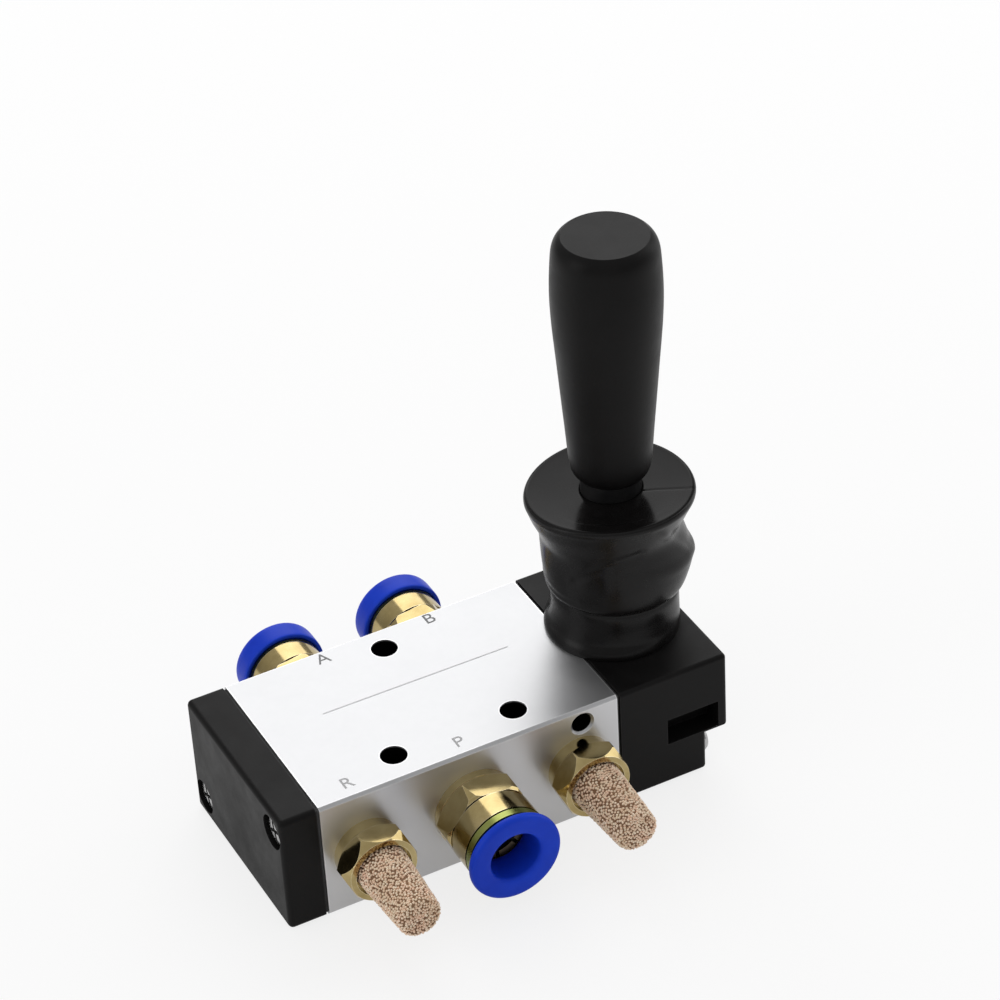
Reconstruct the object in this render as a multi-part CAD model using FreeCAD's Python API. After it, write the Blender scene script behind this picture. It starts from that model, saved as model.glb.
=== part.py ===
import FreeCAD, Part
import math
import os

# Hand lever air valve: five ports in a square block, worked by an upright lever in a rubber boot.
# All sizes are in millimetres. The origin is the centre of the block's bottom face, +X runs along
# the spool towards the lever, +Y towards the two outlet fittings and +Z up along the lever.

# Valve block
BLOCK_WIDTH = 35.0
BLOCK_HEIGHT = 22.0
BLOCK_EDGE = 0.5

# Spool bore and its annular grooves, one at each port
BORE_RADIUS = 6.0
GROOVE_DEPTH = 1.0
GROOVE_HALF_WIDTH = 1.7

# Ports along the block: one supply in the middle of the front face, an exhaust on each side of
# it, and two outlets on the rear face. The block ends beyond the exhaust ports.
OUTLET_FROM_SUPPLY = 11.3
EXHAUST_FROM_OUTLET = 7.6
END_FROM_EXHAUST = 7.25
MAIN_THREAD_RADIUS = 6.5
EXHAUST_THREAD_RADIUS = 4.78
THREAD_CLEARANCE = 0.08
THREAD_LENGTH = 7.0
THREAD_RUNOUT = 1.0
MAIN_PASSAGE_RADIUS = 3.2
EXHAUST_PASSAGE_RADIUS = 2.4
PASSAGE_WEB = 0.6
GALLERY_STEP = 0.1
PORT_CHAMFER = 0.4

# Mounting holes through the block, two beside the supply port and one at the rear
MOUNT_HOLE_RADIUS = 2.2
FRONT_HOLE_PITCH = 21.1
FRONT_HOLE_INSET = 5.6
REAR_HOLE_INSET = 5.0

# Small blind pilot hole above the right exhaust port
PILOT_HOLE_RADIUS = 1.65
PILOT_HOLE_DEPTH = 5.0
PILOT_HOLE_OFFSET = 0.9
PILOT_HOLE_DROP = 2.9
PILOT_HOLE_CHAMFER = 0.45

# Gaskets, end cap and the screws that hold the two ends
GASKET_THICKNESS = 0.5
GASKET_INSET = 0.5
GASKET_HOLE_CLEARANCE = 0.4
CAP_THICKNESS = 6.3
CAP_EDGE_RADIUS = 0.9
CAP_POCKET_DEPTH = 2.8
POCKET_CLEARANCE = 0.3
SCREW_SIDE_INSET = 3.5
SCREW_EDGE_INSET = 4.1
SCREW_RADIUS = 1.45
SCREW_THREAD_CLEARANCE = 0.05
SCREW_HOLE_CLEARANCE = 0.15
SCREW_ENGAGEMENT = 7.8
SCREW_HEAD_RADIUS = 2.6
SCREW_HEAD_HEIGHT = 1.9
SCREW_HEAD_CROWN = 0.6
SCREW_CROSS_LENGTH = 3.4
SCREW_CROSS_WIDTH = 0.7
SCREW_CROSS_DEPTH = 1.1
SCREW_CROSS_TURN_DEG = 20.0
COUNTERBORE_CLEARANCE = 0.35
CAP_COUNTERBORE_DEPTH = 2.4

# Lever housing on the other end of the block
HOUSING_FOOT_WALL = 0.8
HOUSING_OVERHANG = 4.05
HOUSING_STEP_HEIGHT = 7.7
HOUSING_EDGE_RADIUS = 0.7
HOUSING_COUNTERBORE_DEPTH = 0.7
RECESS_LENGTH = 9.4
RECESS_HEIGHT = 5.0
RECESS_DEPTH = 3.8
RECESS_FROM_END = 1.7
RECESS_ABOVE_STEP = 0.3
BOSS_RADIUS = 8.4
BOSS_INSET = 0.45
BOSS_HEIGHT = 6.0
BOSS_CHAMFER = 0.5

# Lever: the pivot in the boss and the ball that drives the spool. At rest the lever leans a
# little away from the block, by the ball's play in the spool's slot.
PIVOT_ABOVE_BLOCK = 3.0
LEVER_SWING_DEG = 10.0
LEVER_LEAN_DEG = 0.75
PIVOT_PIN_RADIUS = 1.5
PIVOT_CLEARANCE = 0.05
PIN_SEAT_CLEARANCE = 0.01
PIN_END_INSET = 0.3
HUB_RADIUS = 5.2
HUB_CLEARANCE = 0.4
BALL_RADIUS = 2.0
BALL_ABOVE_SPOOL_AXIS = 1.2
BALL_CLEARANCE = 0.05
NECK_RADIUS = 1.3
NECK_LENGTH = 5.4
NECK_FLARE_RADIUS = 3.0
SHAFT_RADIUS = 4.9
SHAFT_COLLAR_RADIUS = 3.4
SHAFT_ABOVE_PIVOT = 6.0
SHAFT_CHAMFER = 0.3
STUD_RADIUS = 3.0
STUD_LENGTH = 24.0

# Handle grip on the lever: radii from its lower end to its top, with the heights above its
# lower end or the drops below its top
GRIP_ABOVE_BOOT = 3.4
GRIP_HEIGHT = 43.5
GRIP_SOCKET_DEPTH = 1.2
GRIP_BOTTOM_RADIUS = 5.6
GRIP_FOOT_RADIUS = 6.3
GRIP_FOOT_HEIGHT = 1.1
GRIP_TAPER_START_RADIUS = 6.6
GRIP_TAPER_START_HEIGHT = 2.7
GRIP_TAPER_END_RADIUS = 8.52
GRIP_TAPER_END_HEIGHT = 27.2
GRIP_TAPER_STEPS = 5
GRIP_WIDEST_RADIUS = 8.76
GRIP_WIDEST_DROP = 9.5
GRIP_ROUNDING_RADIUS = 8.5
GRIP_ROUNDING_DROP = 3.9
GRIP_SHOULDER_RADIUS = 7.9
GRIP_SHOULDER_DROP = 1.1
GRIP_TOP_RADIUS = 6.85
GRIP_CLEARANCE = 0.02

# Rubber boot between the housing and the lever, from its foot to its top disc
BOOT_HEIGHT = 26.4
BOOT_WALL = 1.3
BOOT_CUFF_WALL = 1.75
BOOT_CUFF_ABOVE_BOSS = 1.2
BOOT_FOOT_LIP = 0.6
BOOT_FOOT_HEIGHT = 1.1
BOOT_CREASE_INSET = 0.5
BOOT_CREASE_RISE = 1.4
BOOT_BULGE_RADIUS = 11.8
BOOT_BULGE_DROP = 12.0
BOOT_WAIST_RADIUS = 10.8
BOOT_WAIST_DROP = 6.6
BOOT_DISC_RADIUS = 13.75
BOOT_DISC_THICKNESS = 1.5
BOOT_DISC_EDGE = 0.65
BOOT_CLEARANCE = 0.25

# Spool, its seals and the detent under its tail
SPOOL_CLEARANCE = 0.08
SPOOL_WAIST_RADIUS = 3.6
SPOOL_LAND_LIP = 0.35
SEAL_SECTION = 1.4
SEAL_CLEARANCE = 0.02
SEAL_GROOVE_PLAY = 0.05
SEAL_LAP = 0.1
TAIL_RADIUS = 4.4
TAIL_CLEARANCE = 0.3
TAIL_WEB = 1.15
TAIL_CHAMFER = 0.4
SLOT_FLOOR_GAP = 0.5
DETENT_FROM_LEVER = 3.8
DETENT_BALL_RADIUS = 1.5
DETENT_BALL_BELOW_TAIL = 0.9
DETENT_GUIDE_CLEARANCE = 0.05
DETENT_NOTCH_GAP = 0.45
DETENT_PLUG_RADIUS = 1.95
DETENT_PLUG_THICKNESS = 1.5
DETENT_PLUG_INSET = 0.3
DETENT_PLUG_SOCKET = 0.75
SPRING_WIRE_RADIUS = 0.15
SPRING_TURNS = 3.5
SPRING_GAP = 0.05

# Push-in fittings for 8 mm tube, measured outwards from the block's face
TUBE_RADIUS = 4.0
TUBE_SEAT_CLEARANCE = 0.06
TUBE_ENTRY_CLEARANCE = 0.25
TUBE_STOP_DEPTH = 1.0
TUBE_SEAT_LENGTH = 4.0
FITTING_SHOULDER_INSET = 0.1
FITTING_SHOULDER = 1.4
FITTING_HEX_FLAT_DEPTH = 0.2
FITTING_HEX_GROOVE = 0.15
FITTING_HEX_GROOVE_DEPTH = 0.25
FITTING_HEX_LENGTH = 4.75
FITTING_HEX_ANGLE = 112.0
FITTING_HEX_BACK_CHAMFER = 1.0
FITTING_HEX_TAPER = 0.35
FITTING_HEX_FRONT_CHAMFER = 0.5
FITTING_HEX_FACE_LIP = 0.15
FITTING_SEAL_SPACE = 2.2
CLAW_THICKNESS = 0.5
CLAW_SEAT_STEP = 0.48
CLAW_REACH = 0.88
CLAW_DISH = 0.45
CLAW_SLOTS = 8
CLAW_SLOT_WIDTH = 0.7
COLLAR_INSET = 0.05
COLLAR_GAP = 0.3
COLLAR_CLEARANCE = 0.05
COLLAR_WALL = 0.45
COLLAR_GUIDE_DEPTH = 0.8
RING_GUIDE_CLEARANCE = 0.08
RING_SNAP_HEIGHT = 0.23
RING_SNAP_LENGTH = 0.5
RING_SNAP_GAP = 0.1
RING_NOSE_GAP = 0.05
RING_NOSE_CHAMFER = 0.3
RING_FLANGE_LIP = 0.87
RING_SKIRT_CLEARANCE = 0.12
RING_EDGE = 0.6
RING_TRAVEL = 0.8
RING_STOP_GAP = 0.1

# The supply port's wider fitting, whose ring has a thin flange clear of the collar's lip
SUPPLY_BARREL_LENGTH = 4.35
SUPPLY_BARREL_WALL = 0.75
SUPPLY_SEAL_SECTION = 1.6
SUPPLY_COLLAR_LIP = 1.2
SUPPLY_RING_WALL = 1.12
SUPPLY_RING_SKIRT = 0.0
SUPPLY_FLANGE_THICKNESS = 1.5

# The outlet ports' slimmer fittings, whose rings have a thick flange with a skirt round the
# collar, and how much less far the right one is screwed in
OUTLET_BARREL_LENGTH = 3.85
OUTLET_BARREL_WALL = 0.6
OUTLET_SEAL_SECTION = 1.1
OUTLET_COLLAR_LIP = 0.35
OUTLET_RING_WALL = 0.7
OUTLET_RING_SKIRT = 0.85
OUTLET_FLANGE_THICKNESS = 3.35
OUTLET_B_STANDOFF = 1.4

# Silencers in the two exhaust ports, measured outwards from the block's face
SILENCER_SHOULDER_INSET = 0.15
SILENCER_SHOULDER = 2.1
SILENCER_HEX_FLATS = 11.5
SILENCER_HEX_LENGTH = 4.1
SILENCER_HEX_ANGLE = 114.0
SILENCER_HEX_BACK_CHAMFER = 0.95
SILENCER_HEX_TAPER = 0.08
SILENCER_HEX_FRONT_CHAMFER = 1.65
SILENCER_HEX_FACE_INSET = 0.05
SILENCER_THREAD_LENGTH = 6.0
SILENCER_CUP_RADIUS = 4.75
SILENCER_CUP_DEPTH = 1.8
SILENCER_BORE_RADIUS = 2.4
ELEMENT_CUP_GAP = 0.3
ELEMENT_LENGTH = 14.5
ELEMENT_TAPER = 0.8
ELEMENT_TIP_EDGE = 0.5
ELEMENT_WALL = 1.8

# A cutter reaches this far past the face that it opens
CUT_MARGIN = 1.0

# A turned hexagon's corners are trimmed by this at their sharpest
HEX_CORNER_TRIM = 0.02

# Places in the block and at its ends
AXIS_Z = BLOCK_HEIGHT / 2
EXHAUST_FROM_SUPPLY = OUTLET_FROM_SUPPLY + EXHAUST_FROM_OUTLET
HALF_LENGTH = EXHAUST_FROM_SUPPLY + END_FROM_EXHAUST
HALF_WIDTH = BLOCK_WIDTH / 2
GROOVE_RADIUS = BORE_RADIUS + GROOVE_DEPTH
GALLERY_RADIUS = GROOVE_HALF_WIDTH - GALLERY_STEP
CAP_INNER_X = -HALF_LENGTH - GASKET_THICKNESS
CAP_OUTER_X = CAP_INNER_X - CAP_THICKNESS
HOUSING_INNER_X = HALF_LENGTH + GASKET_THICKNESS
LEVER_X = HOUSING_INNER_X + BOSS_INSET + BOSS_RADIUS
COUNTERBORE_RADIUS = SCREW_HEAD_RADIUS + COUNTERBORE_CLEARANCE

# Places of the lever and the spool
BOSS_TOP_Z = BLOCK_HEIGHT + BOSS_HEIGHT
PIVOT_Z = BLOCK_HEIGHT + PIVOT_ABOVE_BLOCK
BALL_Z = AXIS_Z + BALL_ABOVE_SPOOL_AXIS
SPOOL_TRAVEL = (PIVOT_Z - BALL_Z) * math.radians(LEVER_SWING_DEG)
BALL_PLAY = (PIVOT_Z - BALL_Z) * math.sin(math.radians(LEVER_LEAN_DEG))
SLOT_HALF_WIDTH = BALL_RADIUS + BALL_CLEARANCE + BALL_PLAY
TAIL_END_X = LEVER_X + SLOT_HALF_WIDTH + TAIL_WEB
TAIL_BORE_RADIUS = TAIL_RADIUS + TAIL_CLEARANCE
TAIL_BORE_END_X = TAIL_END_X + SPOOL_TRAVEL + TAIL_CLEARANCE
HOUSING_FOOT_X = TAIL_BORE_END_X + HOUSING_FOOT_WALL
HOUSING_OUTER_X = HOUSING_FOOT_X + HOUSING_OVERHANG
LAND_RADIUS = BORE_RADIUS - SPOOL_CLEARANCE
SEAL_HALF_WIDTH = SEAL_SECTION / 2
LAND_HALF_WIDTH = SEAL_HALF_WIDTH + SEAL_GROOVE_PLAY + SPOOL_LAND_LIP
SEAL_FROM_GROOVE = SEAL_HALF_WIDTH + SEAL_LAP
SUPPLY_SEAL_X = OUTLET_FROM_SUPPLY - GROOVE_HALF_WIDTH - SEAL_FROM_GROOVE
EXHAUST_SEAL_X = OUTLET_FROM_SUPPLY + GROOVE_HALF_WIDTH + SEAL_FROM_GROOVE
END_SEAL_X = EXHAUST_FROM_SUPPLY + GROOVE_HALF_WIDTH + SPOOL_TRAVEL + SEAL_HALF_WIDTH
SPOOL_END_X = END_SEAL_X + LAND_HALF_WIDTH
POCKET_RADIUS = BORE_RADIUS + POCKET_CLEARANCE
HOUSING_POCKET_X = max(HOUSING_INNER_X, SPOOL_END_X + SPOOL_TRAVEL) + POCKET_CLEARANCE
HUB_CAVITY_RADIUS = HUB_RADIUS + HUB_CLEARANCE

# Places of the detent under the spool's tail
DETENT_X = LEVER_X - DETENT_FROM_LEVER
TAIL_BOTTOM_Z = AXIS_Z - TAIL_RADIUS
DETENT_BALL_Z = TAIL_BOTTOM_Z - DETENT_BALL_BELOW_TAIL
DETENT_GUIDE_RADIUS = DETENT_BALL_RADIUS + DETENT_GUIDE_CLEARANCE
DETENT_PLUG_TOP_Z = DETENT_PLUG_INSET + DETENT_PLUG_THICKNESS

# Places of the boot and the grip
BOOT_TOP_Z = BLOCK_HEIGHT + BOOT_HEIGHT
SHAFT_START_Z = PIVOT_Z + SHAFT_ABOVE_PIVOT
GRIP_BASE_Z = BOOT_TOP_Z + GRIP_ABOVE_BOOT
SHAFT_TOP_Z = GRIP_BASE_Z + GRIP_SOCKET_DEPTH
GRIP_TOP_Z = GRIP_BASE_Z + GRIP_HEIGHT

# Radii and places that both sizes of push-in fitting share
TUBE_SEAT_RADIUS = TUBE_RADIUS + TUBE_SEAT_CLEARANCE
TUBE_GRIP_RADIUS = TUBE_RADIUS + 2 * TUBE_SEAT_CLEARANCE
CLAW_RIM_RADIUS = TUBE_GRIP_RADIUS + CLAW_REACH
RING_BORE_RADIUS = TUBE_RADIUS + TUBE_ENTRY_CLEARANCE
FITTING_HEX_END = FITTING_SHOULDER + FITTING_HEX_LENGTH
TUBE_SEAT_END = TUBE_STOP_DEPTH + TUBE_SEAT_LENGTH
CLAW_SEAT = TUBE_SEAT_END + FITTING_SEAL_SPACE
COLLAR_START = CLAW_SEAT + CLAW_THICKNESS
RING_NOSE_START = COLLAR_START + RING_TRAVEL + RING_NOSE_GAP

# Places in a silencer
SILENCER_HEX_END = SILENCER_SHOULDER + SILENCER_HEX_LENGTH
SILENCER_SEAT = SILENCER_HEX_END - SILENCER_CUP_DEPTH
SILENCER_END = SILENCER_SEAT + ELEMENT_LENGTH
SILENCER_FACE_RADIUS = SILENCER_HEX_FLATS / 2 - SILENCER_HEX_FACE_INSET
ELEMENT_BASE_RADIUS = SILENCER_CUP_RADIUS - ELEMENT_CUP_GAP
ELEMENT_TIP_RADIUS = ELEMENT_BASE_RADIUS - ELEMENT_TAPER

X_AXIS = FreeCAD.Vector(1, 0, 0)
Y_AXIS = FreeCAD.Vector(0, 1, 0)
Z_AXIS = FreeCAD.Vector(0, 0, 1)


def box(x_low, x_high, y_low, y_high, z_low, z_high):
    """A box between two corners."""
    corner = FreeCAD.Vector(x_low, y_low, z_low)
    return Part.makeBox(x_high - x_low, y_high - y_low, z_high - z_low, corner)


def rod_x(radius, x_low, x_high, y, z):
    """A cylinder along X."""
    return Part.makeCylinder(radius, x_high - x_low, FreeCAD.Vector(x_low, y, z), X_AXIS)


def rod_y(radius, y_low, y_high, x, z):
    """A cylinder along Y."""
    return Part.makeCylinder(radius, y_high - y_low, FreeCAD.Vector(x, y_low, z), Y_AXIS)


def rod_z(radius, z_low, z_high, x=0.0, y=0.0):
    """A cylinder along Z."""
    return Part.makeCylinder(radius, z_high - z_low, FreeCAD.Vector(x, y, z_low), Z_AXIS)


def turned(profile, x=0.0, y=0.0):
    """A solid turned about a vertical axis from closed (radius, height) points."""
    points = [FreeCAD.Vector(radius, 0, height) for radius, height in profile]
    wire = Part.makePolygon(points + [points[0]])
    solid = Part.Face(wire).revolve(FreeCAD.Vector(0, 0, 0), Z_AXIS, 360)
    solid.translate(FreeCAD.Vector(x, y, 0))
    return solid


def cut_all(solid, cutters):
    """A solid with each cutter taken out of it."""
    for cutter in cutters:
        solid = solid.cut(cutter)
    return solid


def fuse_all(solids):
    """Overlapping solids of one piece, joined with no seams left."""
    joined = solids[0]
    for solid in solids[1:]:
        joined = joined.fuse(solid)
    return joined.removeSplitter()


def hexagon(flats, low, high, angle):
    """A hexagonal prism about Z, with one corner at the angle."""
    radius = flats / math.sqrt(3)
    points = []
    for index in range(7):
        turn = math.radians(angle + 60 * index)
        points.append(FreeCAD.Vector(radius * math.cos(turn), radius * math.sin(turn), low))
    return Part.Face(Part.makePolygon(points)).extrude(FreeCAD.Vector(0, 0, high - low))


def chamfered_hexagon(flats, low, high, angle, back, taper, front_radius, front):
    """A hexagon chamfered over the length back, tapered, and chamfered over the length front."""
    corner = flats / math.sqrt(3) - HEX_CORNER_TRIM
    envelope = turned(
        [
            (0, low),
            (flats / 2, low),
            (corner, low + back),
            (corner - taper, high - front),
            (front_radius, high),
            (0, high),
        ]
    )
    return hexagon(flats, low, high, angle).common(envelope)


def on_face(solid, x, side, standoff=0.0):
    """Stands a solid made about Z on the front (-1) or rear (+1) face, at a port."""
    turn = FreeCAD.Rotation(X_AXIS, -90 * side)
    place = FreeCAD.Vector(x, side * (HALF_WIDTH + standoff), AXIS_Z)
    moved = solid.copy()
    moved.Placement = FreeCAD.Placement(place, turn).multiply(solid.Placement)
    return moved


def edges_along(solid, axis, keep):
    """The straight edges of a solid along an axis whose middle passes the test keep."""
    found = []
    for edge in solid.Edges:
        if not isinstance(edge.Curve, Part.Line):
            continue
        if abs(edge.tangentAt(edge.FirstParameter).dot(axis)) < 0.999:
            continue
        if keep(edge.CenterOfMass):
            found.append(edge)
    return found


def screw_places(side):
    """The (y, z) centres of the two screws in the left (-1) or right (+1) end."""
    y = side * (HALF_WIDTH - SCREW_SIDE_INSET)
    return [(y, BLOCK_HEIGHT - SCREW_EDGE_INSET), (-y, SCREW_EDGE_INSET)]


def end_screw(seat_x, side, y, z):
    """A pan head screw with a cross recess: its head stands out from seat_x, away from the block."""
    tip = (HALF_LENGTH - SCREW_ENGAGEMENT) - abs(seat_x)
    head = SCREW_HEAD_HEIGHT
    crown = SCREW_HEAD_CROWN
    body = turned(
        [
            (0, tip),
            (SCREW_RADIUS, tip),
            (SCREW_RADIUS, 0),
            (SCREW_HEAD_RADIUS, 0),
            (SCREW_HEAD_RADIUS, head - crown),
            (SCREW_HEAD_RADIUS - crown / 2, head - crown / 4),
            (SCREW_HEAD_RADIUS - crown * 2, head),
            (0, head),
        ]
    )
    arm = SCREW_CROSS_LENGTH / 2
    width = SCREW_CROSS_WIDTH / 2
    floor = head - SCREW_CROSS_DEPTH
    top = head + CUT_MARGIN
    cross = box(-arm, arm, -width, width, floor, top).fuse(box(-width, width, -arm, arm, floor, top))
    screw = body.cut(cross)
    screw.rotate(FreeCAD.Vector(0, 0, 0), Z_AXIS, SCREW_CROSS_TURN_DEG)
    screw.rotate(FreeCAD.Vector(0, 0, 0), Y_AXIS, 90 * side)
    screw.translate(FreeCAD.Vector(seat_x, y, z))
    return screw


def port_cutter(thread_radius, passage_radius):
    """The threaded bore, its mouth and the passage to the spool's groove, about Z from the face."""
    bore = thread_radius + THREAD_CLEARANCE
    depth = THREAD_LENGTH + THREAD_RUNOUT
    gallery_start = HALF_WIDTH - GROOVE_RADIUS - PASSAGE_WEB
    gallery_end = HALF_WIDTH - BORE_RADIUS
    return turned(
        [
            (0, CUT_MARGIN),
            (bore + PORT_CHAMFER, CUT_MARGIN),
            (bore + PORT_CHAMFER, 0),
            (bore, -PORT_CHAMFER),
            (bore, -depth),
            (passage_radius, -depth),
            (passage_radius, -gallery_start),
            (GALLERY_RADIUS, -gallery_start),
            (GALLERY_RADIUS, -gallery_end),
            (0, -gallery_end),
        ]
    )


def port_places():
    """The ports' places along the block, from the left."""
    right = [OUTLET_FROM_SUPPLY, EXHAUST_FROM_SUPPLY]
    return sorted([-x for x in right] + [0.0] + right)


def valve_block():
    """The machined block with the spool bore, the ports, the mounting holes and the pilot hole."""
    block = box(-HALF_LENGTH, HALF_LENGTH, -HALF_WIDTH, HALF_WIDTH, 0, BLOCK_HEIGHT)
    block = block.makeChamfer(BLOCK_EDGE, edges_along(block, X_AXIS, lambda middle: True))
    cutters = [rod_x(BORE_RADIUS, -HALF_LENGTH - CUT_MARGIN, HALF_LENGTH + CUT_MARGIN, 0, AXIS_Z)]
    for x in port_places():
        cutters.append(rod_x(GROOVE_RADIUS, x - GROOVE_HALF_WIDTH, x + GROOVE_HALF_WIDTH, 0, AXIS_Z))
    main_port = port_cutter(MAIN_THREAD_RADIUS, MAIN_PASSAGE_RADIUS)
    exhaust_port = port_cutter(EXHAUST_THREAD_RADIUS, EXHAUST_PASSAGE_RADIUS)
    cutters.append(on_face(main_port, 0.0, -1))
    for sign in (-1, 1):
        cutters.append(on_face(exhaust_port, sign * EXHAUST_FROM_SUPPLY, -1))
        cutters.append(on_face(main_port, sign * OUTLET_FROM_SUPPLY, 1))
        cutters.append(mount_hole(sign * FRONT_HOLE_PITCH / 2, -HALF_WIDTH + FRONT_HOLE_INSET))
        for y, z in screw_places(sign):
            start = HALF_LENGTH - SCREW_ENGAGEMENT
            low, high = sorted((sign * start, sign * (HALF_LENGTH + CUT_MARGIN)))
            cutters.append(rod_x(SCREW_RADIUS + SCREW_THREAD_CLEARANCE, low, high, y, z))
    cutters.append(mount_hole(0.0, HALF_WIDTH - REAR_HOLE_INSET))
    cutters.append(pilot_hole())
    return cut_all(block, cutters)


def mount_hole(x, y):
    """The cutter of one mounting hole."""
    return rod_z(MOUNT_HOLE_RADIUS, -CUT_MARGIN, BLOCK_HEIGHT + CUT_MARGIN, x, y)


def pilot_hole():
    """The cutter of the small blind hole with a chamfered mouth in the front face."""
    mouth = PILOT_HOLE_RADIUS + PILOT_HOLE_CHAMFER
    hole = turned(
        [
            (0, CUT_MARGIN),
            (mouth, CUT_MARGIN),
            (mouth, 0),
            (PILOT_HOLE_RADIUS, -PILOT_HOLE_CHAMFER),
            (PILOT_HOLE_RADIUS, -PILOT_HOLE_DEPTH),
            (0, -PILOT_HOLE_DEPTH),
        ]
    )
    hole = on_face(hole, EXHAUST_FROM_SUPPLY + PILOT_HOLE_OFFSET, -1)
    hole.translate(FreeCAD.Vector(0, 0, BLOCK_HEIGHT - PILOT_HOLE_DROP - AXIS_Z))
    return hole


def gasket(inner_x, outer_x, side):
    """A flat gasket between the block and an end, set in a little from the outline."""
    inset = GASKET_INSET
    plate = box(
        inner_x, outer_x, -HALF_WIDTH + inset, HALF_WIDTH - inset, inset, BLOCK_HEIGHT - inset
    )
    bore = BORE_RADIUS + GASKET_HOLE_CLEARANCE
    cutters = [rod_x(bore, inner_x - CUT_MARGIN, outer_x + CUT_MARGIN, 0, AXIS_Z)]
    for y, z in screw_places(side):
        hole = SCREW_RADIUS + SCREW_HOLE_CLEARANCE
        cutters.append(rod_x(hole, inner_x - CUT_MARGIN, outer_x + CUT_MARGIN, y, z))
    return cut_all(plate, cutters)


def end_cap():
    """The moulded cap with a pocket for the spool's end and two counterbored screw holes."""
    cap = box(CAP_OUTER_X, CAP_INNER_X, -HALF_WIDTH, HALF_WIDTH, 0, BLOCK_HEIGHT)
    outer_y = edges_along(cap, Y_AXIS, lambda middle: middle.x < CAP_INNER_X - CAP_THICKNESS / 2)
    outer_z = edges_along(cap, Z_AXIS, lambda middle: middle.x < CAP_INNER_X - CAP_THICKNESS / 2)
    long_edges = edges_along(cap, X_AXIS, lambda middle: True)
    cap = cap.makeFillet(CAP_EDGE_RADIUS, outer_y + outer_z + long_edges)
    pocket_floor = CAP_INNER_X - CAP_POCKET_DEPTH
    cutters = [rod_x(POCKET_RADIUS, pocket_floor, CAP_INNER_X + CUT_MARGIN, 0, AXIS_Z)]
    seat_x = CAP_OUTER_X + CAP_COUNTERBORE_DEPTH
    for y, z in screw_places(-1):
        hole = SCREW_RADIUS + SCREW_HOLE_CLEARANCE
        cutters.append(rod_x(hole, CAP_OUTER_X - CUT_MARGIN, CAP_INNER_X + CUT_MARGIN, y, z))
        cutters.append(rod_x(COUNTERBORE_RADIUS, CAP_OUTER_X - CUT_MARGIN, seat_x, y, z))
    return cut_all(cap, cutters)


def end_cap_screws():
    """The two screws that hold the end cap."""
    seat_x = CAP_OUTER_X + CAP_COUNTERBORE_DEPTH
    return Part.makeCompound([end_screw(seat_x, -1, y, z) for y, z in screw_places(-1)])


def housing_screws():
    """The two long screws that hold the lever housing."""
    seat_x = HOUSING_FOOT_X - HOUSING_COUNTERBORE_DEPTH
    return Part.makeCompound([end_screw(seat_x, 1, y, z) for y, z in screw_places(1)])


def lever_housing():
    """The moulded housing: a stepped block with the boss, the lever's cavity and the tail bore."""
    inner = HOUSING_INNER_X
    outer = HOUSING_OUTER_X
    foot = box(inner, HOUSING_FOOT_X, -HALF_WIDTH, HALF_WIDTH, 0, BLOCK_HEIGHT)
    upper = box(inner, outer, -HALF_WIDTH, HALF_WIDTH, HOUSING_STEP_HEIGHT, BLOCK_HEIGHT)
    shell = fuse_all([foot, upper])
    past_foot = HOUSING_FOOT_X - HOUSING_EDGE_RADIUS
    rounded = edges_along(shell, Y_AXIS, lambda middle: middle.x > past_foot)
    rounded = [edge for edge in rounded if not is_inner_corner(edge.CenterOfMass)]
    rounded += edges_along(shell, Z_AXIS, lambda middle: middle.x > past_foot)
    rounded += edges_along(shell, X_AXIS, lambda middle: middle.x < past_foot)
    shell = shell.makeFillet(HOUSING_EDGE_RADIUS, rounded)
    boss = rod_z(BOSS_RADIUS, BLOCK_HEIGHT - CUT_MARGIN, BOSS_TOP_Z, LEVER_X)
    rim = [edge for edge in boss.Edges if edge.CenterOfMass.z > BOSS_TOP_Z - BOSS_CHAMFER]
    rim = [edge for edge in rim if isinstance(edge.Curve, Part.Circle)]
    shell = fuse_all([shell, boss.makeChamfer(BOSS_CHAMFER, rim)])
    return cut_all(shell, housing_cutters())


def is_inner_corner(middle):
    """Whether an edge lies in the inside corner of the housing's step."""
    near_foot = abs(middle.x - HOUSING_FOOT_X) < HOUSING_EDGE_RADIUS
    return near_foot and abs(middle.z - HOUSING_STEP_HEIGHT) < HOUSING_EDGE_RADIUS


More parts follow.
